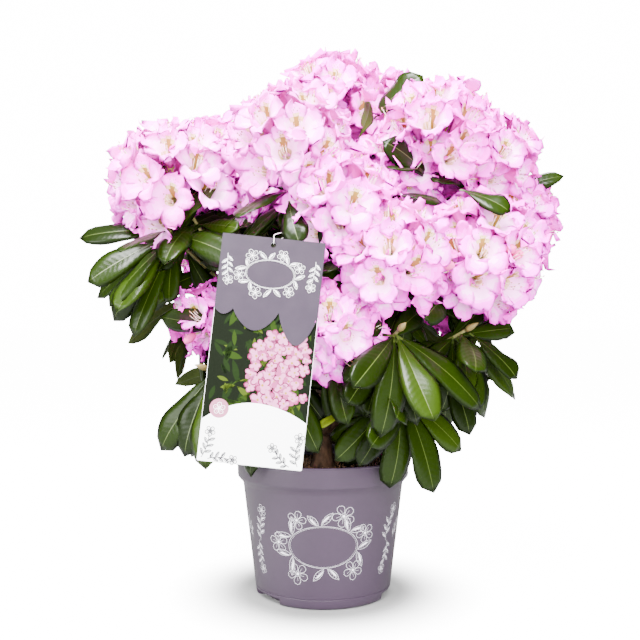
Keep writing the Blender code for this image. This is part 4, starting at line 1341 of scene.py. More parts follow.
def peeping_leaves():
    """The few leaves that look out between the trusses or fill out the leaf clusters.

    Each row gives the root, the tip, the way the upper side faces, and the width.
    """
    rows = (((0.064, -0.050, 0.618), (0.112, -0.085, 0.674), (-0.35, -0.9, 0.5), 0.044),
            ((0.045, -0.070, 0.590), (0.066, -0.098, 0.628), (0.3, 0.9, -0.5), 0.030),
            ((0.140, -0.085, 0.528), (0.086, -0.135, 0.582), (0.5, -0.9, 0.5), 0.042),
            ((0.062, -0.150, 0.505), (0.136, -0.165, 0.512), (0.0, -0.3, 1.0), 0.032),
            ((0.160, -0.150, 0.514), (0.212, -0.184, 0.494), (0.1, -0.8, 0.6), 0.036),
            ((0.225, -0.010, 0.520), (0.312, -0.030, 0.560), (-0.2, -0.7, 0.7), 0.030),
            ((-0.040, -0.165, 0.500), (-0.034, -0.206, 0.452), (-0.2, -1.0, 0.3), 0.036),
            ((0.024, -0.122, 0.252), (-0.006, -0.136, 0.236), (-0.2, -0.8, 0.6), 0.018),
            ((-0.190, -0.085, 0.466), (-0.290, -0.118, 0.420), (-0.2, -0.95, 0.30), 0.044),
            ((-0.188, -0.092, 0.462), (-0.262, -0.130, 0.388), (-0.4, -0.85, 0.35), 0.044),
            ((-0.186, -0.090, 0.455), (-0.234, -0.125, 0.348), (-0.3, -0.95, 0.15), 0.044),
            ((-0.195, -0.080, 0.450), (-0.276, -0.085, 0.372), (-0.3, -0.90, 0.30), 0.042),
            ((0.180, -0.100, 0.345), (0.236, -0.130, 0.300), (0.5, -0.6, 0.6), 0.036),
            ((0.172, -0.100, 0.335), (0.190, -0.150, 0.262), (0.3, -0.9, 0.3), 0.038))
    found = []
    for root, tip, upper, width in rows:
        way = Vector(tip) - Vector(root)
        found.append((Vector(root), way.normalized(), Vector(upper).normalized(), way.length, width,
                      PEEPING_DROOP))
    return found


def make_leaves():
    base = tuple(colours().leaf)
    finishes = []
    for name, factor, yellow in LEAF_SHADES:
        colour = shade(base, factor, towards=(0.45, 0.55, 0.05), share=yellow)
        finishes.append(leaf_finish(name, colour, 0.31, 0.03))
    finishes.append(plain("leaf_midrib", (0.034, 0.052, 0.006), 0.45))
    finishes.append(leaf_finish("leaf_under", (0.032, 0.046, 0.008), 0.60, 0.0))
    finishes.append(leaf_finish("leaf_young", (0.085, 0.115, 0.006), 0.45, 0.0))
    pile = Pile()
    shoots = [(end["leaves"], ROLLS.get(end["mass"], 0.0)) for end in PLAN["ends"]]
    shoots.append((peeping_leaves(), 0.0))
    for number, (leaves, roll) in enumerate(shoots):
        rng = random.Random(SEED * 11 + number)
        for leaf in leaves:
            root, way, upper, *measures = leaf
            upper = (upper + Vector((0.0, -roll, 0.3 * roll))).normalized()
            points, faces, marks, rib, below = leaf_mesh((root, way, upper, *measures), rng)
            top = rng.choice((0, 0, 1, 1, 1, 2))
            if leaf[4] < YOUNG_WIDTH:
                top = LEAF_YOUNG
            pile.add(points, faces, np.where(rib, LEAF_RIB, np.where(below, LEAF_UNDER, top)), marks)
    dress(pile.piece("leaves", finishes), FOLIAGE_NODES)


def make_twigs():
    """Stems and shoots on from the boughs, the flowers' stalks and calyxes, and the resting buds."""
    pile = Pile()
    for lines in PLAN["twigs"].values():
        for number, (points, radii, _) in enumerate(lines):
            line, wide = smooth_line(points, radii, 0.008)
            if number == 0:
                line.insert(0, line[0] - (line[1] - line[0]).normalized() * 0.004)
                wide.insert(0, wide[0])
            pile.add_tube(line, [radius * 1.12 for radius in wide], 8, 0 if number == 0 else 1, 0.0003)
    for number, end in enumerate(PLAN["ends"]):
        rng = random.Random(SEED * 13 + number)
        for root, mouth, radius in end["flowers"]:
            way = (mouth - root).normalized()
            neck = mouth - way * (TUBE_END * radius)
            aside = Vector((rng.uniform(-1, 1), rng.uniform(-1, 1), rng.uniform(-1, 0.3))) * 0.002
            pile.add_tube([root, root.lerp(neck, 0.5) + aside, neck], STALK_RADII, 5, 2)
            calyx = [neck - way * 0.001, neck + way * 0.002, neck + way * 0.004]
            pile.add_tube(calyx, [0.0016, 0.0042, 0.0046], 6, 2)
        if end["kind"] == LEAVES:
            foot = end["centre"] + end["way"] * 0.008
            shape = [foot + end["way"] * (0.020 * share) for share in (0.0, 0.3, 0.6, 1.0)]
            pile.add_tube(shape, [0.0028, 0.0042, 0.0034, 0.0004], 8, 3)
    finishes = [plain("stem_bark", (0.050, 0.034, 0.018), 0.8, bump=0.5, scale=250),
                plain("shoot_bark", (0.140, 0.130, 0.045), 0.7, bump=0.4, scale=250),
                plain("pedicel", (0.30, 0.26, 0.09), 0.55, bump=0.2),
                plain("bud_scale", (0.16, 0.12, 0.04), 0.5, bump=0.3)]
    dress(pile.piece("twigs", finishes), FOLIAGE_NODES)


def make_wood():
    """Trunk and boughs with the bark's ridges, their feet sunk into what they grow from."""
    relief = sizes().bark_relief
    pile = Pile()
    for name, limb in PLAN["limbs"].items():
        step = 0.0035 if name == "trunk" else 0.005
        line, wide = smooth_line(limb["points"], limb["radii"], step)
        if name == "trunk":
            line[0] = line[0] - Vector((0, 0, 0.004))
            pile.add_tube(line, wide, 26, 0, relief * 1.3)
        else:
            swell = [radius * (1 + 0.45 * math.exp(-index / 3)) for index, radius in enumerate(wide)]
            pile.add_tube(line, swell, 14, 0, relief * 0.6)
    bark = mixed("bark", (0.014, 0.007, 0.004), (0.075, 0.040, 0.022), 120, stretch=(1, 1, 0.35),
                 roughness=(0.75, 0.95), bump=0.6, depth=0.0015)
    dress(pile.piece("trunk_and_boughs", [bark]), ["trunk", *BOUGH_NODES])


# Pot, soil and label

def pot_profile():
    """The pot's half outline as radius and height: the outside upwards, then the inside down."""
    line = [(0, 0), (FOOT_RADIUS - 0.020, 0), (FOOT_RADIUS - FOOT_CHAMFER, 0),
            (FOOT_RADIUS - 0.0012, FOOT_CHAMFER * 0.45), (FOOT_RADIUS, FOOT_CHAMFER)]
    for height, dent in ((NOTCH_RISE - NOTCH_EDGE, 0.0), (NOTCH_RISE, 0.0), (0.0120, 0.0),
                         (0.0125, 0.00045), (0.0134, 0.00045), (0.0140, 0.0),
                         (0.040, 0.0), (0.080, 0.0), (0.115, 0.0), (0.1445, 0.0)):
        share = (height - FOOT_CHAMFER) / (SHOULDER_HEIGHT - FOOT_CHAMFER)
        line.append((FOOT_RADIUS + (SHOULDER_RADIUS - FOOT_RADIUS) * share - dent, height))
    line += [(SHOULDER_RADIUS + 0.0004, SHOULDER_HEIGHT + 0.0006),
             (COLLAR_FOOT_RADIUS - 0.0014, COLLAR_FOOT_HEIGHT - 0.0016),
             (COLLAR_FOOT_RADIUS - 0.0002, COLLAR_FOOT_HEIGHT - 0.0002),
             (COLLAR_FOOT_RADIUS + 0.00025, COLLAR_FOOT_HEIGHT + 0.0016),
             (RIM_RADIUS - POT_LIP * 0.75, POT_HEIGHT - POT_LIP * 2.6),
             (RIM_RADIUS - POT_LIP * 0.1, POT_HEIGHT - POT_LIP * 1.5),
             (RIM_RADIUS - POT_LIP * 0.25, POT_HEIGHT - POT_LIP * 0.5),
             (RIM_RADIUS - POT_LIP * 0.9, POT_HEIGHT),
             (RIM_RADIUS - POT_WALL * 0.95, POT_HEIGHT - POT_LIP * 0.25),
             (RIM_RADIUS - POT_WALL * 1.1, POT_HEIGHT - POT_LIP * 1.2)]
    line += [(pot_inner_radius(height), height)
             for height in (COLLAR_FOOT_HEIGHT, SHOULDER_HEIGHT, FALSE_FLOOR)]
    return [*line, (0, FALSE_FLOOR)]


def pot_inner_radius(height):
    share = min(height, SHOULDER_HEIGHT) / SHOULDER_HEIGHT
    radius = FOOT_RADIUS + (SHOULDER_RADIUS - FOOT_RADIUS) * share
    if height > SHOULDER_HEIGHT:
        rise = min(1.0, (height - SHOULDER_HEIGHT) / (COLLAR_FOOT_HEIGHT - SHOULDER_HEIGHT))
        radius += (COLLAR_FOOT_RADIUS - SHOULDER_RADIUS) * rise
    return radius - POT_WALL


def notch_share(angle):
    """How far into a drain notch of the foot an angle lies, from 0 beside it to 1 within it."""
    half = math.degrees(NOTCH_WIDTH / 2 / FOOT_RADIUS)
    found = 0.0
    for middle in NOTCH_ANGLES:
        away = abs((angle - middle + 180) % 360 - 180)
        found = max(found, min(1.0, max(0.0, half - away)))
    return found


def make_pot():
    base = tuple(colours().pot)
    finish = mixed("pot_plastic", shade(base, 0.94), shade(base, 1.05), 9, roughness=(0.42, 0.52),
                   bump=0.05, depth=0.0004)
    bm = turned(pot_profile(), POT_SEGMENTS)
    for vert in bm.verts:
        out = math.hypot(vert.co.x, vert.co.y)
        if vert.co.z < NOTCH_RISE - NOTCH_EDGE / 2 and out > FOOT_RADIUS - 0.010:
            share = notch_share(math.degrees(math.atan2(vert.co.y, vert.co.x)))
            vert.co.x -= vert.co.x / out * NOTCH_DEPTH * share
            vert.co.y -= vert.co.y / out * NOTCH_DEPTH * share
    pot = add_object("pot_shell", bm, finish)
    smooth_off(pot, 28)
    dress(pot, ["pot"])


def make_soil():
    """The soil, crumbly on top and following the pot's wall below."""
    finish = mixed("soil_mix", (0.010, 0.006, 0.004), (0.060, 0.035, 0.020), 260, roughness=(0.85, 1.0),
                   bump=0.9, depth=0.002, spread=(0.3, 0.75))
    pile = Pile()
    rings, segments = 26, 96
    outer = pot_inner_radius(COLLAR_FOOT_HEIGHT) - SOIL_INSET
    rows = []
    for ring in range(1, rings + 1):
        radius = outer * ring / rings
        row = []
        for step in range(segments):
            angle = math.tau * (step + 0.5 * (ring % 2)) / segments
            x, y = radius * math.cos(angle), radius * math.sin(angle)
            rough = 0.0022 * noise.noise(Vector((x, y, 0)) * 90)
            rough += 0.0016 * noise.noise(Vector((x, y, 3)) * 230)
            row.append((x, y, SOIL_TOP + 0.0005 + rough - 0.003 * (radius / outer) ** 6))
        rows.append(row)
    for height in (SOIL_TOP - 0.006, COLLAR_FOOT_HEIGHT, SHOULDER_HEIGHT, 0.080,
                   FALSE_FLOOR + SOIL_LIFT):
        scale = (pot_inner_radius(height) - SOIL_INSET) / outer
        rows.append([(x * scale, y * scale, height) for x, y, _ in rows[rings - 1]])
    points = np.array([point for row in rows for point in row])
    faces = grid_faces(len(rows), segments, ring=True)[:, ::-1]
    top, bottom = len(points), len(points) + 1
    points = np.concatenate([points, [(0, 0, SOIL_TOP), (0, 0, FALSE_FLOOR + SOIL_LIFT)]])
    last = (len(rows) - 1) * segments
    caps = [(top, step, (step + 1) % segments) for step in range(segments)]
    caps += [(bottom, last + (step + 1) % segments, last + step) for step in range(segments)]
    pile.add(points, np.concatenate([faces, np.array(caps)]), 0)
    dress(pile.piece("soil_body", [finish]), ["soil"])


def chip_tree(finish):
    """Geometry Nodes: chips of a few faces scattered over a mesh, turned and sized at random."""
    tree = bpy.data.node_groups.new("scatter_chips", "GeometryNodeTree")
    for name, way, kind in (("Ground", "INPUT", "Geometry"), ("Density", "INPUT", "Float"),
                            ("Chip length", "INPUT", "Float"), ("Seed", "INPUT", "Int"),
                            ("Chips", "OUTPUT", "Geometry")):
        tree.interface.new_socket(name, in_out=way, socket_type="NodeSocket" + kind)
    given = add_node(tree, "NodeGroupInput")
    spread = add_node(tree, "GeometryNodeDistributePointsOnFaces")
    chip = add_node(tree, "GeometryNodeMeshIcoSphere", Subdivisions=1, Radius=0.5)
    turn = add_node(tree, "FunctionNodeRandomValue")
    scale = add_node(tree, "FunctionNodeRandomValue")
    for node in (turn, scale):
        node.data_type = "FLOAT_VECTOR"
    turn.inputs[1].default_value = (math.tau, math.tau, math.tau)
    scale.inputs[0].default_value = (0.35, 0.18, 0.10)
    scale.inputs[1].default_value = (1.0, 0.55, 0.34)
    sized = add_node(tree, "ShaderNodeVectorMath")
    sized.operation = "SCALE"
    place = add_node(tree, "GeometryNodeInstanceOnPoints")
    real = add_node(tree, "GeometryNodeRealizeInstances")
    painted = add_node(tree, "GeometryNodeSetMaterial", Material=finish)
    out = add_node(tree, "NodeGroupOutput")
    wire(tree, (given, "Ground", spread, "Mesh"), (given, "Density", spread, "Density"),
         (given, "Seed", spread, "Seed"), (given, "Seed", turn, "Seed"), (given, "Seed", scale, "Seed"),
         (scale, 0, sized, 0), (given, "Chip length", sized, "Scale"),
         (spread, "Points", place, "Points"), (chip, "Mesh", place, "Instance"),
         (turn, 0, place, "Rotation"), (sized, "Vector", place, "Scale"),
         (place, "Instances", real, "Geometry"), (real, "Geometry", painted, "Geometry"),
         (painted, "Geometry", out, "Chips"))
    return tree


CHIP_LENGTH = 0.009


def make_chips():
    """Chips of bark scattered over a round ground just above the soil, clear of the pot's wall."""
    outer = pot_inner_radius(COLLAR_FOOT_HEIGHT) - CHIP_LENGTH
    bm = bmesh.new()
    bmesh.ops.create_circle(bm, cap_ends=True, segments=48, radius=outer)
    bmesh.ops.translate(bm, vec=(0, 0, SOIL_TOP + 0.0016), verts=bm.verts)
    finish = mixed("bark_chip", (0.030, 0.016, 0.009), (0.16, 0.085, 0.045), 160, roughness=(0.8, 0.95),
                   bump=0.5, depth=0.001, spread=(0.3, 0.7))
    chips = add_object("soil_chips", bm, finish)
    scatter = chips.modifiers.new("chips", "NODES")
    scatter.node_group = chip_tree(finish)
    area = math.pi * outer ** 2
    wanted = {"Density": sizes().chips / area, "Chip length": CHIP_LENGTH, "Seed": SEED}
    for item in scatter.node_group.interface.items_tree:
        if item.in_out == "INPUT" and item.name in wanted:
            scatter[item.identifier] = wanted[item.name]
    bake_down(chips)
    dress(chips, [])


def ribbon(points, width, closed=False):
    """A thin flat line through points of a plane: points and triangles."""
    points = [np.array(point, float) for point in points]
    count = len(points)
    edges = []
    for index, point in enumerate(points):
        if closed:
            before, after = points[index - 1], points[(index + 1) % count]
        else:
            before, after = points[max(index - 1, 0)], points[min(index + 1, count - 1)]
        way = after - before
        way = way / max(np.linalg.norm(way), 1e-9)
        normal = np.array([-way[1], way[0]]) * width / 2
        edges.append(point + normal)
        edges.append(point - normal)
    steps = count if closed else count - 1
    faces = []
    for index in range(steps):
        a, b = 2 * index, 2 * index + 1
        c, d = (2 * index + 2) % (2 * count), (2 * index + 3) % (2 * count)
        faces += [(a, b, d), (a, d, c)]
    return np.array(edges), np.array(faces)


def fan(outline):
    """A filled flat shape round its middle."""
    points = np.array(outline, float)
    centre = points.mean(axis=0)
    count = len(points)
    faces = [(count, index, (index + 1) % count) for index in range(count)]
    return np.concatenate([points, [centre]]), np.array(faces)


def placed(outline, foot, angle):
    """The outline turned by the angle, with its origin at the foot."""
    c, s = math.cos(angle), math.sin(angle)
    return [(foot[0] + x * c - y * s, foot[1] + x * s + y * c) for x, y in outline]


def leaf_outline(foot, angle, length, width, steps=8):
    sides = []
    for sign in (1, -1):
        row = []
        for step in range(steps + 1):
            t = step / steps
            row.append((t * length, sign * width / 2 * math.sin(math.pi * t) ** 0.8))
        sides.append(row)
    return placed(sides[0] + sides[1][-2:0:-1], foot, angle)


def petal_outline(centre, angle, near, reach, width, steps=9):
    """A broad petal with a blunt, faintly notched tip."""
    rows = []
    for sign in (1, -1):
        row = []
        for step in range(steps + 1):
            t = step / steps
            half = width / 2 * math.sin(math.pi * min(1.0, t * 0.93 + 0.07)) ** 0.55 * (0.55 + 0.45 * t)
            row.append((near + (reach - near) * (t - 0.05 * t ** 8 * (1 - abs(2 * t - 1))), sign * half))
        rows.append(row)
    return placed(rows[0] + [(reach * 0.965, 0.0)] + rows[1][-2:0:-1], centre, angle)


def polar(centre, radius, angle):
    return centre[0] + radius * math.cos(angle), centre[1] + radius * math.sin(angle)


def dot(centre, radius, sides):
    """A filled round spot."""
    return fan([polar(centre, radius, math.tau * step / sides) for step in range(sides)])


def drawn_blossom(pile, centre, radius, turn, line, kind):
    """A line-drawn blossom: petals with a crease each, a filled heart and stamens."""
    for petal in range(PETALS):
        angle = turn + math.tau * petal / PETALS
        outline = petal_outline(centre, angle, radius * 0.20, radius, radius * 0.82)
        pile.add(*ribbon(outline, line, closed=True), kind)
        crease = [polar(centre, radius * far, angle + 0.05 * step)
                  for step, far in enumerate((0.30, 0.48, 0.66))]
        pile.add(*ribbon(crease, line * 0.7), kind)
        stamen = [polar(centre, radius * far, angle + 0.6) for far in (0.12, 0.36)]
        pile.add(*ribbon(stamen, line * 0.6), kind)
        pile.add(*dot(stamen[1], line * 0.9, 6), kind)
    pile.add(*dot(centre, radius * 0.13, 10), kind)


def drawn_leaf(pile, foot, angle, length, width, line, kind):
    """A line-drawn leaf with one half filled, a midrib and side veins."""
    shape = leaf_outline(foot, angle, length, width)
    pile.add(*ribbon(shape, line, closed=True), kind)
    tip = polar(foot, length, angle)
    pile.add(*ribbon([foot, polar(foot, length / 2, angle), tip], line * 0.8), kind)
    for far in (0.3, 0.5, 0.7):
        start = polar(foot, length * far, angle)
        reach = width * 0.32 * math.sin(math.pi * far)
        pile.add(*ribbon([start, polar(start, reach * 1.5, angle - 0.7)], line * 0.6), kind)
    inner = leaf_outline(foot, angle, length * 0.86, width * 0.62)
    count = len(inner) // 2
    pile.add(*fan(inner[1:count] + [polar(foot, length * 0.60, angle)]), kind)


def drawn_frame(pile, centre, wide, high, line, kind):
    """A thin double oval."""
    for scale, thick in ((1.0, line), (0.955, line * 0.5)):
        oval = [(centre[0] + wide * scale * math.cos(math.tau * step / 72),
                 centre[1] + high * scale * math.sin(math.tau * step / 72)) for step in range(72)]
        pile.add(*ribbon(oval, thick, closed=True), kind)


def wreath(pile, centre, wide, high, line, kind, rng, blooms, size):
    """A generic oval frame, bare within, with blossoms at uneven angles and leaves between them."""
    drawn_frame(pile, centre, wide, high, line, kind)
    for index, degrees in enumerate(blooms):
        angle = math.radians(degrees)
        radius = size * rng.uniform(0.85, 1.1)
        spot = (centre[0] + (wide + radius * 1.12) * math.cos(angle),
                centre[1] + (high + radius * 1.12) * math.sin(angle))
        drawn_blossom(pile, spot, radius, rng.uniform(0, 1.2), line, kind)
        last = index == len(blooms) - 1
        gap = math.radians(blooms[0] + 360 if last else blooms[index + 1]) - angle
        for share, tilt in ((0.46, 0.75), (0.54, -0.75)):
            here = angle + gap * share
            foot = (centre[0] + wide * 1.03 * math.cos(here), centre[1] + high * 1.05 * math.sin(here))
            out = math.atan2(math.sin(here) / high, math.cos(here) / wide)
            drawn_leaf(pile, foot, out - tilt, size * rng.uniform(1.3, 1.9), size * 0.55, line, kind)


def sprig(pile, foot, angle, length, line, kind, rng, bend=None):
    """A generic stalk with leaves to both sides and a blossom at its end."""
    if bend is None:
        bend = rng.uniform(-0.5, 0.5)
    stalk = [polar(foot, length * step / 8, angle + bend * step / 8) for step in range(9)]
    pile.add(*ribbon(stalk, line), kind)
    for step in (2, 4, 6):
        for sign in (-1, 1):
            drawn_leaf(pile, stalk[step - (sign > 0)], angle + bend * step / 8 + sign * 0.85,
                       length * 0.30, length * 0.11, line * 0.8, kind)
    tip = polar(stalk[-1], length * 0.14, angle + bend)
    drawn_blossom(pile, tip, length * 0.22, rng.uniform(0, 1), line, kind)


def upright(points, faces):
    """Turns a flat shape's triangles to face the same way."""
    one, two, three = (points[faces[:, corner]] for corner in range(3))
    ahead, aside = two - one, three - one
    area = ahead[:, 0] * aside[:, 1] - aside[:, 0] * ahead[:, 1]
    turned_faces = faces.copy()
    turned_faces[area < 0] = turned_faces[area < 0][:, ::-1]
    return turned_faces


def flat_mesh(pile):
    """The pile's flat points, its triangles all facing up, and its finish numbers."""
    points = np.concatenate(pile.points)
    faces = upright(points, np.concatenate(pile.faces))
    return points, faces, np.concatenate(pile.kinds)


def wall_radius(height):
    """Radius of the pot's tapered wall at a height."""
    rise = (SHOULDER_RADIUS - FOOT_RADIUS) * (height - FOOT_CHAMFER)
    return FOOT_RADIUS + rise / (SHOULDER_HEIGHT - FOOT_CHAMFER)


# Thickness of the pot's printed lines, and how far its print and the label's stand off what bears them
POT_LINE = 0.00034
INK_CLEAR = 0.00012


def make_pot_print():
    """White wreaths with sprigs between them, drawn flat and wrapped round the pot's wall."""
    rng = random.Random(SEED + 4)
    pile = Pile()
    line = POT_LINE
    wreath(pile, (0.0, 0.081), 0.044, 0.0265, line, 0, rng, (22, 66, 124, 176, 236, 312), 0.0135)
    for side in (-1, 1):
        for foot, angle, length in ((0.092, 1.65, 0.036), (0.112, 1.2, 0.030), (0.096, -1.4, 0.032)):
            way = angle if side > 0 else math.pi - angle
            sprig(pile, (side * foot, 0.080), way, length, line, 0, rng)
    wreath(pile, (0.300, 0.081), 0.040, 0.0250, line, 0, rng, (40, 100, 160, 215, 280, 335), 0.0125)
    for foot, height, angle, length in ((0.155, 0.060, 1.4, 0.040), (0.190, 0.104, -1.8, 0.038),
                                        (0.222, 0.058, 1.7, 0.034), (0.375, 0.060, 1.3, 0.038),
                                        (0.420, 0.104, -1.4, 0.036), (0.455, 0.062, 1.8, 0.034)):
        sprig(pile, (foot, height), angle, length, line, 0, rng)
    points, faces, kinds = flat_mesh(pile)
    heights = points[:, 1]
    radius = wall_radius(heights) + INK_CLEAR
    angle = points[:, 0] / wall_radius(0.08) - math.pi / 2
    wrapped = np.stack([radius * np.cos(angle), radius * np.sin(angle), heights], axis=1)
    solid = Pile()
    solid.add(wrapped, faces, kinds)
    made = solid.piece("pot_print", [plain("print_white", (0.62, 0.60, 0.65), 0.5, bump=0.1)])
    dress(made, [])


def on_label(points, faces, kinds, depth, pile):
    """Lays a flat shape on the label, so far in front of its frame."""
    place = np.array(label_place())
    one = np.ones(len(points))
    flat = np.stack([points[:, 0], -depth * one, points[:, 1], one], axis=1)
    pile.add((flat @ place.T)[:, :3], upright(points, faces), kinds)


def rounded(corner_points, radius, steps=5):
    """A polygon's outline with its corners rounded."""
    found = []
    count = len(corner_points)
    for index in range(count):
        before = Vector(corner_points[index - 1])
        here = Vector(corner_points[index])
        after = Vector(corner_points[(index + 1) % count])
        one = here + (before - here).normalized() * radius
        two = here + (after - here).normalized() * radius
        for step in range(steps + 1):
            t = step / steps
            found.append(tuple(one.lerp(here, t).lerp(here.lerp(two, t), t)))
    return found


def flap_outline():
    """The flap's outline, with a lower edge of petal-like lobes that grow towards the right."""
    edge = LABEL_WIDTH / 2
    points = [(-edge, 0), (edge, 0), (edge, -FLAP_LENGTH)]
    for width, depth in reversed(FLAP_LOBES):
        for step in range(1, 17):
            share = step / 16
            x = edge - width * LABEL_WIDTH * share
            points.append((x, -FLAP_LENGTH - depth * math.sin(math.pi * share) ** 0.8))
        edge -= width * LABEL_WIDTH
    return points


def pierced(name, outline, offset, finish):
    """A flat sheet of the label with its eyelet cut through and its edges softened."""
    made = add_object(name, plate(outline, CARD_THICKNESS, label_place(), offset), finish)
    bm = bmesh.new()
    bmesh.ops.create_cone(bm, cap_ends=True, segments=32, radius1=EYELET_RADIUS, radius2=EYELET_RADIUS,
                          depth=0.02)
    place = label_place() @ Matrix.Translation((0, 0, -EYELET_INSET))
    place = place @ Matrix.Rotation(math.radians(90), 4, "X")
    bmesh.ops.transform(bm, matrix=place, verts=bm.verts)
    cutter = add_object("cutter", bm, finish)
    cut = made.modifiers.new("eyelet", "BOOLEAN")
    cut.operation = "DIFFERENCE"
    cut.solver = "EXACT"
    cut.object = cutter
    edge = made.modifiers.new("edge", "BEVEL")
    edge.width = 0.00012
    edge.segments = 1
    edge.limit_method = "ANGLE"
    bake_down(made)
    bpy.data.objects.remove(cutter, do_unlink=True)
    return made


PAPER_ROUGHNESS = (0.38, 0.46)


def make_card():
    half = LABEL_WIDTH / 2
    outline = rounded([(-half, 0.0), (half, 0.0), (half, -LABEL_LENGTH), (-half, -LABEL_LENGTH)], 0.0025)
    paper = mixed("card_white", (0.76, 0.75, 0.77), (0.84, 0.83, 0.85), 60, roughness=PAPER_ROUGHNESS,
                  bump=0.05)
    dress(pierced("label_card_print_base", outline, 0.0, paper), ["label_card"])


def make_flap():
    paper = mixed("flap_mauve", (0.0185, 0.0122, 0.0215), (0.0215, 0.0145, 0.0245), 60,
                  roughness=PAPER_ROUGHNESS, bump=0.05)
    offset = CARD_THICKNESS + GAP
    dress(pierced("label_flap_sheet", flap_outline(), offset, paper), ["label_flap"])


(CARD_GREEN, CARD_LEAF, CARD_LIT, CARD_PINK, CARD_PALE, CARD_ROSE,
 CARD_WHITE, CARD_GREY, CARD_DOT, CARD_DARK, CARD_HEART) = range(11)
# Height of the lowest layer of ink over the card, and of one layer over the next
INK_BASE = 0.00010
LAYER = 0.000025
# What the picture keeps from the card's edge
PRINT_MARGIN = 0.0004
LEAF_TRIES = 190
BLOOM_TRIES = 900
FLAP_LINE = 0.00028


def make_label_print():
    """A generic picture of blossom, a white band with an arched top and a round dot, in flat shapes."""
    rng = random.Random(SEED + 9)
    half = LABEL_WIDTH / 2
    top, low = -FLAP_LENGTH + 0.012, -0.194
    edge = half - PRINT_MARGIN
    solid = Pile()

    def lay(shape, kind, level):
        on_label(shape[0], shape[1], kind, CARD_THICKNESS + INK_BASE + LAYER * level, solid)

    lay(fan([(-edge, top), (edge, top), (edge, low - 0.02), (-edge, low - 0.02)]), CARD_DARK, 0)
    for index in range(LEAF_TRIES):
        spot = (rng.uniform(-half + 0.010, half - 0.010), rng.uniform(low - 0.004, top - 0.008))
        length = rng.uniform(0.013, 0.026)
        shape = leaf_outline(spot, rng.uniform(0, math.tau), length, length * rng.uniform(0.26, 0.36),
                             steps=5)
        if all(abs(x) < half - 0.001 and y < top - 0.001 for x, y in shape):
            green = (CARD_GREEN, CARD_LEAF, CARD_DARK, CARD_GREEN, CARD_LIT)[index % 5]
            lay(fan(shape), green, 1 + index % 3)
    blooms = []
    for _ in range(BLOOM_TRIES):
        spot = (rng.uniform(-0.016, half - 0.007), rng.uniform(low + 0.004, top - 0.016))
        across = (spot[0] - 0.024) / 0.036
        down = (spot[1] + 0.148) / 0.042
        if across ** 2 + down ** 2 < 1 and all((spot[0] - x) ** 2 + (spot[1] - y) ** 2 > 0.0086 ** 2
                                               for x, y in blooms):
            blooms.append(spot)
    for index, spot in enumerate(sorted(blooms, key=lambda place: -place[1])):
        turn = rng.uniform(0, math.tau)
        size = min(rng.uniform(0.0078, 0.0106), half - 0.001 - spot[0])
        level = 4 + 5 * (index % 3)
        for petal in range(PETALS):
            angle = turn + math.tau * petal / PETALS + rng.uniform(-0.16, 0.16)
            reach = size * rng.uniform(0.74, 0.98)
            lay(fan(petal_outline(spot, angle, 0.0004, reach * 1.08, size * 0.90, steps=5)),
                rng.choice((CARD_ROSE, CARD_PINK)), level)
            inner = size * rng.uniform(0.52, 0.72)
            lay(fan(petal_outline(spot, angle, 0.0004, reach * 0.92, inner, steps=5)),
                rng.choice((CARD_PINK, CARD_PALE, CARD_PALE)), level + 1)
        lay(dot(spot, size * 0.34, 10), CARD_PALE, level + 2)
        lay(dot(polar(spot, size * 0.16, turn), size * 0.15, 6), CARD_HEART, level + 3)
    band = [(edge, -LABEL_LENGTH + 0.0006), (-edge, -LABEL_LENGTH + 0.0006)]
    for step in range(25):
        x = -edge + 2 * edge * step / 24
        band.append((x, low + 0.010 - 0.017 * (x / half) ** 2 * (1.0 if x > 0 else 1.35)))
    lay(fan(band), CARD_WHITE, 20)
    middle = (-half + 0.018, low + 0.0005)
    lay(dot(middle, 0.0105, 40), CARD_DOT, 21)
    lines = Pile()
    drawn_blossom(lines, middle, 0.0068, 0.3, 0.0004, CARD_WHITE)
    for foot, angle, length in (((-0.053, -0.248), 1.05, 0.026), ((-0.046, -0.249), 0.42, 0.024),
                                ((0.052, -0.248), 2.05, 0.027), ((0.043, -0.249), 2.70, 0.024)):
        sprig(lines, foot, angle, length, 0.0008, CARD_GREY, rng)
    on_label(*flat_mesh(lines), CARD_THICKNESS + INK_BASE + LAYER * 23, solid)
    flap = Pile()
    wreath(flap, (0.0, -0.041), 0.0275, 0.0160, FLAP_LINE, CARD_WHITE, rng,
           (24, 70, 128, 190, 246, 310), 0.0070)
    for side in (-1, 1):
        sprig(flap, (side * 0.0490, -0.022), -math.pi / 2, 0.026, FLAP_LINE, CARD_WHITE, rng,
              bend=-0.1 * side)
    on_label(*flat_mesh(flap), 2 * CARD_THICKNESS + GAP + INK_CLEAR, solid)
    shades = (("print_green", (0.0035, 0.0090, 0.0012)), ("print_leaf", (0.009, 0.020, 0.0015)),
              ("print_lit", (0.026, 0.040, 0.003)), ("print_pink", (0.24, 0.045, 0.13)),
              ("print_pale", (0.40, 0.13, 0.26)), ("print_rose", (0.12, 0.012, 0.050)),
              ("print_band", (0.82, 0.82, 0.83)), ("print_grey", (0.012, 0.011, 0.016)),
              ("print_dot", (0.27, 0.095, 0.155)), ("print_dark", (0.0016, 0.0030, 0.0008)),
              ("print_heart", (0.20, 0.12, 0.015)))
    finishes = [plain(name, colour, 0.60, bump=0.05, shine=0.08) for name, colour in shades]
    dress(solid.piece("label_print", finishes, smooth=False), [])


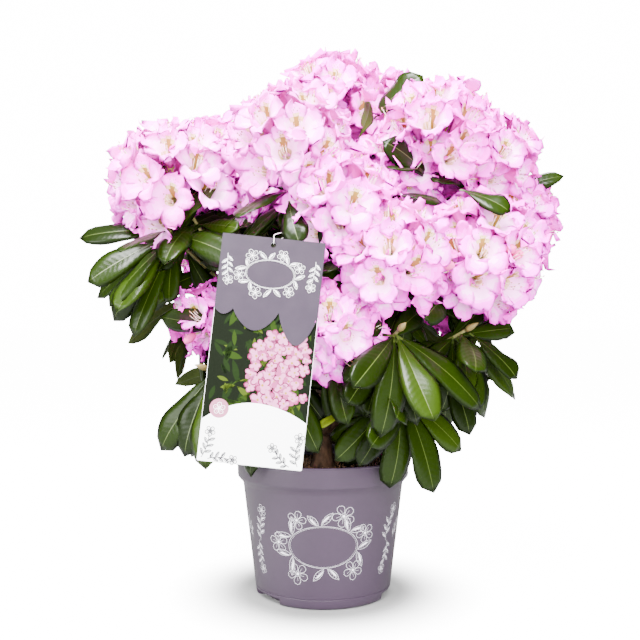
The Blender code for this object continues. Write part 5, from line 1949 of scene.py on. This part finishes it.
def make_string():
    """The thread, on a smooth closed line through the solid string's points."""
    finish = plain("thread", (0.80, 0.79, 0.77), 0.8, bump=0.6, scale=900)
    points = PLAN["string"]
    count = len(points)
    fine = []
    for index in range(count):
        before, here = points[index - 1], points[index]
        there, after = points[(index + 1) % count], points[(index + 2) % count]
        for part in range(STRING_PARTS):
            fine.append(curve_point(before, here, there, after, part / STRING_PARTS))
    bm = bmesh.new()
    loop(bm, fine, STRING_RADIUS * THREAD_SHARE, 8)
    thread = add_object("label_thread", bm, finish)
    smooth_off(thread, 40)
    dress(thread, ["label_string"])


# Stage

CAMERA_PLACE = (-0.004, -1.18, 0.361)
SENSOR = 36
# Focal length in the photograph's pixels, and the photograph's width
FOCAL_PIXELS = 879
PHOTO_WIDTH = 640
FLOOR_SIZE = 30
FLOOR_DROP = 0.0002
# Lights: name, place, what they aim at, size, power, and whether they show in shiny surfaces
LIGHTS = (("key", (-0.40, -0.95, 2.05), (0, 0, 0.45), 1.0, 390, True),
          ("fill", (0.4, -2.1, 0.85), (0, 0, 0.45), 1.6, 260, False),
          ("side", (-1.7, -1.2, 0.8), (0, 0, 0.45), 1.2, 80, True),
          ("back", (0.2, 1.5, 1.9), (0, 0, 0.4), 1.4, 130, True))
WORLD_LIGHT = 1.0
WORLD_GLOSS = 0.15
WORLD_SEEN = 16.0
# How brightly the floor glows away from the pot, seen by the camera only: painted light, with a painted
# shadow left round the pot
FLOOR_PAINTED_GLOW = 15.0
WHITE = (1.0, 1.0, 1.0, 1.0)


def area_light(name, place, target, size, power, shines):
    data = bpy.data.lights.new(name, "AREA")
    data.shape = "RECTANGLE"
    data.size = data.size_y = size
    data.energy = power
    made = new_object(name, data)
    made.location = place
    made.rotation_euler = (Vector(target) - Vector(place)).to_track_quat("-Z", "Y").to_euler()
    made.visible_glossy = shines


def floor_with_painted_shadow():
    """A pale floor that grows whiter away from the pot, as in a light tent."""
    made = plain("floor_painted_shadow", (0.25, 0.25, 0.25), 0.9)
    tree = made.node_tree
    shader = tree.nodes["Principled BSDF"]
    set_inputs(shader, Emission_Color=WHITE)
    place = add_node(tree, "ShaderNodeTexCoord")
    far = add_node(tree, "ShaderNodeVectorMath")
    far.operation = "LENGTH"
    # The glow rises from 0.10 m to 0.23 m off the pot's axis: the painted shadow's fade
    painted_glow = add_node(tree, "ShaderNodeMapRange", From_Min=0.10, From_Max=0.23, To_Max=FLOOR_PAINTED_GLOW)
    painted_glow.interpolation_type = "SMOOTHSTEP"
    seen = add_node(tree, "ShaderNodeLightPath")
    shown = add_node(tree, "ShaderNodeMath")
    shown.operation = "MULTIPLY"
    wire(tree, (place, "Object", far, 0), (far, "Value", painted_glow, "Value"), (painted_glow, "Result", shown, 0),
         (seen, "Is Camera Ray", shown, 1), (shown, "Value", shader, "Emission Strength"))
    return made


def make_world():
    """White surroundings, brighter to look at than to be lit by."""
    world = bpy.data.worlds.new("studio")
    bpy.context.scene.world = world
    world.use_nodes = True
    tree = world.node_tree
    ground = tree.nodes["Background"]
    set_inputs(ground, Color=WHITE)
    seen = add_node(tree, "ShaderNodeLightPath")
    soft = add_node(tree, "ShaderNodeMapRange", To_Min=WORLD_LIGHT, To_Max=WORLD_GLOSS)
    strength = add_node(tree, "ShaderNodeMapRange", To_Max=WORLD_SEEN)
    wire(tree, (seen, "Is Glossy Ray", soft, "Value"), (soft, "Result", strength, "To Min"),
         (seen, "Is Camera Ray", strength, "Value"), (strength, "Result", ground, "Strength"))


def make_stage():
    """The floor, the surroundings, the lights and the photograph's camera."""
    bm = bmesh.new()
    bmesh.ops.create_grid(bm, x_segments=4, y_segments=4, size=FLOOR_SIZE)
    bmesh.ops.translate(bm, vec=(0, 0, -FLOOR_DROP), verts=bm.verts)
    add_object("floor", bm, floor_with_painted_shadow())
    make_world()
    for light in LIGHTS:
        area_light(*light)
    camera = bpy.data.cameras.new("camera")
    camera.lens = SENSOR * FOCAL_PIXELS / PHOTO_WIDTH
    camera.sensor_width = SENSOR
    made = new_object("camera", camera)
    made.location = CAMERA_PLACE
    made.rotation_euler = (math.radians(90), 0, 0)
    bpy.context.scene.camera = made


# Operators

def operator(name, label, doc, work):
    """An operator class that runs one making function; an error in it ends the run."""
    def execute(self, context):
        work()
        return {"FINISHED"}
    return type("SHRUB_OT_" + name, (bpy.types.Operator,),
                {"bl_idname": "shrub." + name, "bl_label": label, "__doc__": doc, "execute": execute})


def make_plan():
    PLAN.update(plan_shrub())


# In the order in which main() calls them
OPERATORS = (
    operator("plan", "Plan the shrub", "Works out the limbs, shoots, leaves and flowers", make_plan),
    operator("wood", "Trunk and boughs", "Makes the trunk and boughs with their bark", make_wood),
    operator("twigs", "Twigs", "Makes the shoots, flower stalks and resting buds", make_twigs),
    operator("leaves", "Leaves", "Makes the leaves with their midribs", make_leaves),
    operator("flowers", "Flowers", "Makes the trusses of open flowers", make_flowers),
    operator("stamens", "Stamens", "Makes the stamens of every flower", make_stamens),
    operator("buds", "Buds", "Makes the closed buds in the trusses", make_buds),
    operator("pot", "Pot", "Makes the pot with its collar and notches", make_pot),
    operator("pot_print", "Pot print", "Makes the white pattern round the pot", make_pot_print),
    operator("soil", "Soil", "Makes the soil, crumbly on top", make_soil),
    operator("chips", "Chips", "Scatters chips of bark over the soil", make_chips),
    operator("card", "Label card", "Makes the label's card", make_card),
    operator("flap", "Label flap", "Makes the label's scalloped flap", make_flap),
    operator("label_print", "Label print", "Makes the pattern on the label", make_label_print),
    operator("string", "String", "Makes the thread that the label hangs on", make_string),
    operator("stage", "Stage", "Makes the floor, the lights and the camera", make_stage),
)


class SHRUB_PT_panel(bpy.types.Panel):
    """Lists the pieces of the potted shrub"""
    bl_idname = "SHRUB_PT_panel"
    bl_label = "Potted rhododendron"
    bl_space_type = "VIEW_3D"
    bl_region_type = "UI"
    bl_category = "Shrub"

    def draw(self, context):
        for group in (context.scene.shrub_sizes, context.scene.shrub_colours):
            for name in group.__annotations__:
                self.layout.prop(group, name)
        for made in OPERATORS:
            self.layout.operator(made.bl_idname)


CLASSES = (ShrubSizes, ShrubColours, *OPERATORS, SHRUB_PT_panel)


def register():
    for kind in CLASSES:
        bpy.utils.register_class(kind)
    bpy.types.Scene.shrub_sizes = bpy.props.PointerProperty(type=ShrubSizes)
    bpy.types.Scene.shrub_colours = bpy.props.PointerProperty(type=ShrubColours)


def unregister():
    del bpy.types.Scene.shrub_colours
    del bpy.types.Scene.shrub_sizes
    for kind in reversed(CLASSES):
        bpy.utils.unregister_class(kind)


def main():
    register()
    for made in OPERATORS:
        getattr(bpy.ops.shrub, made.bl_idname.split(".")[1])()


if __name__ == "__main__":
    main()
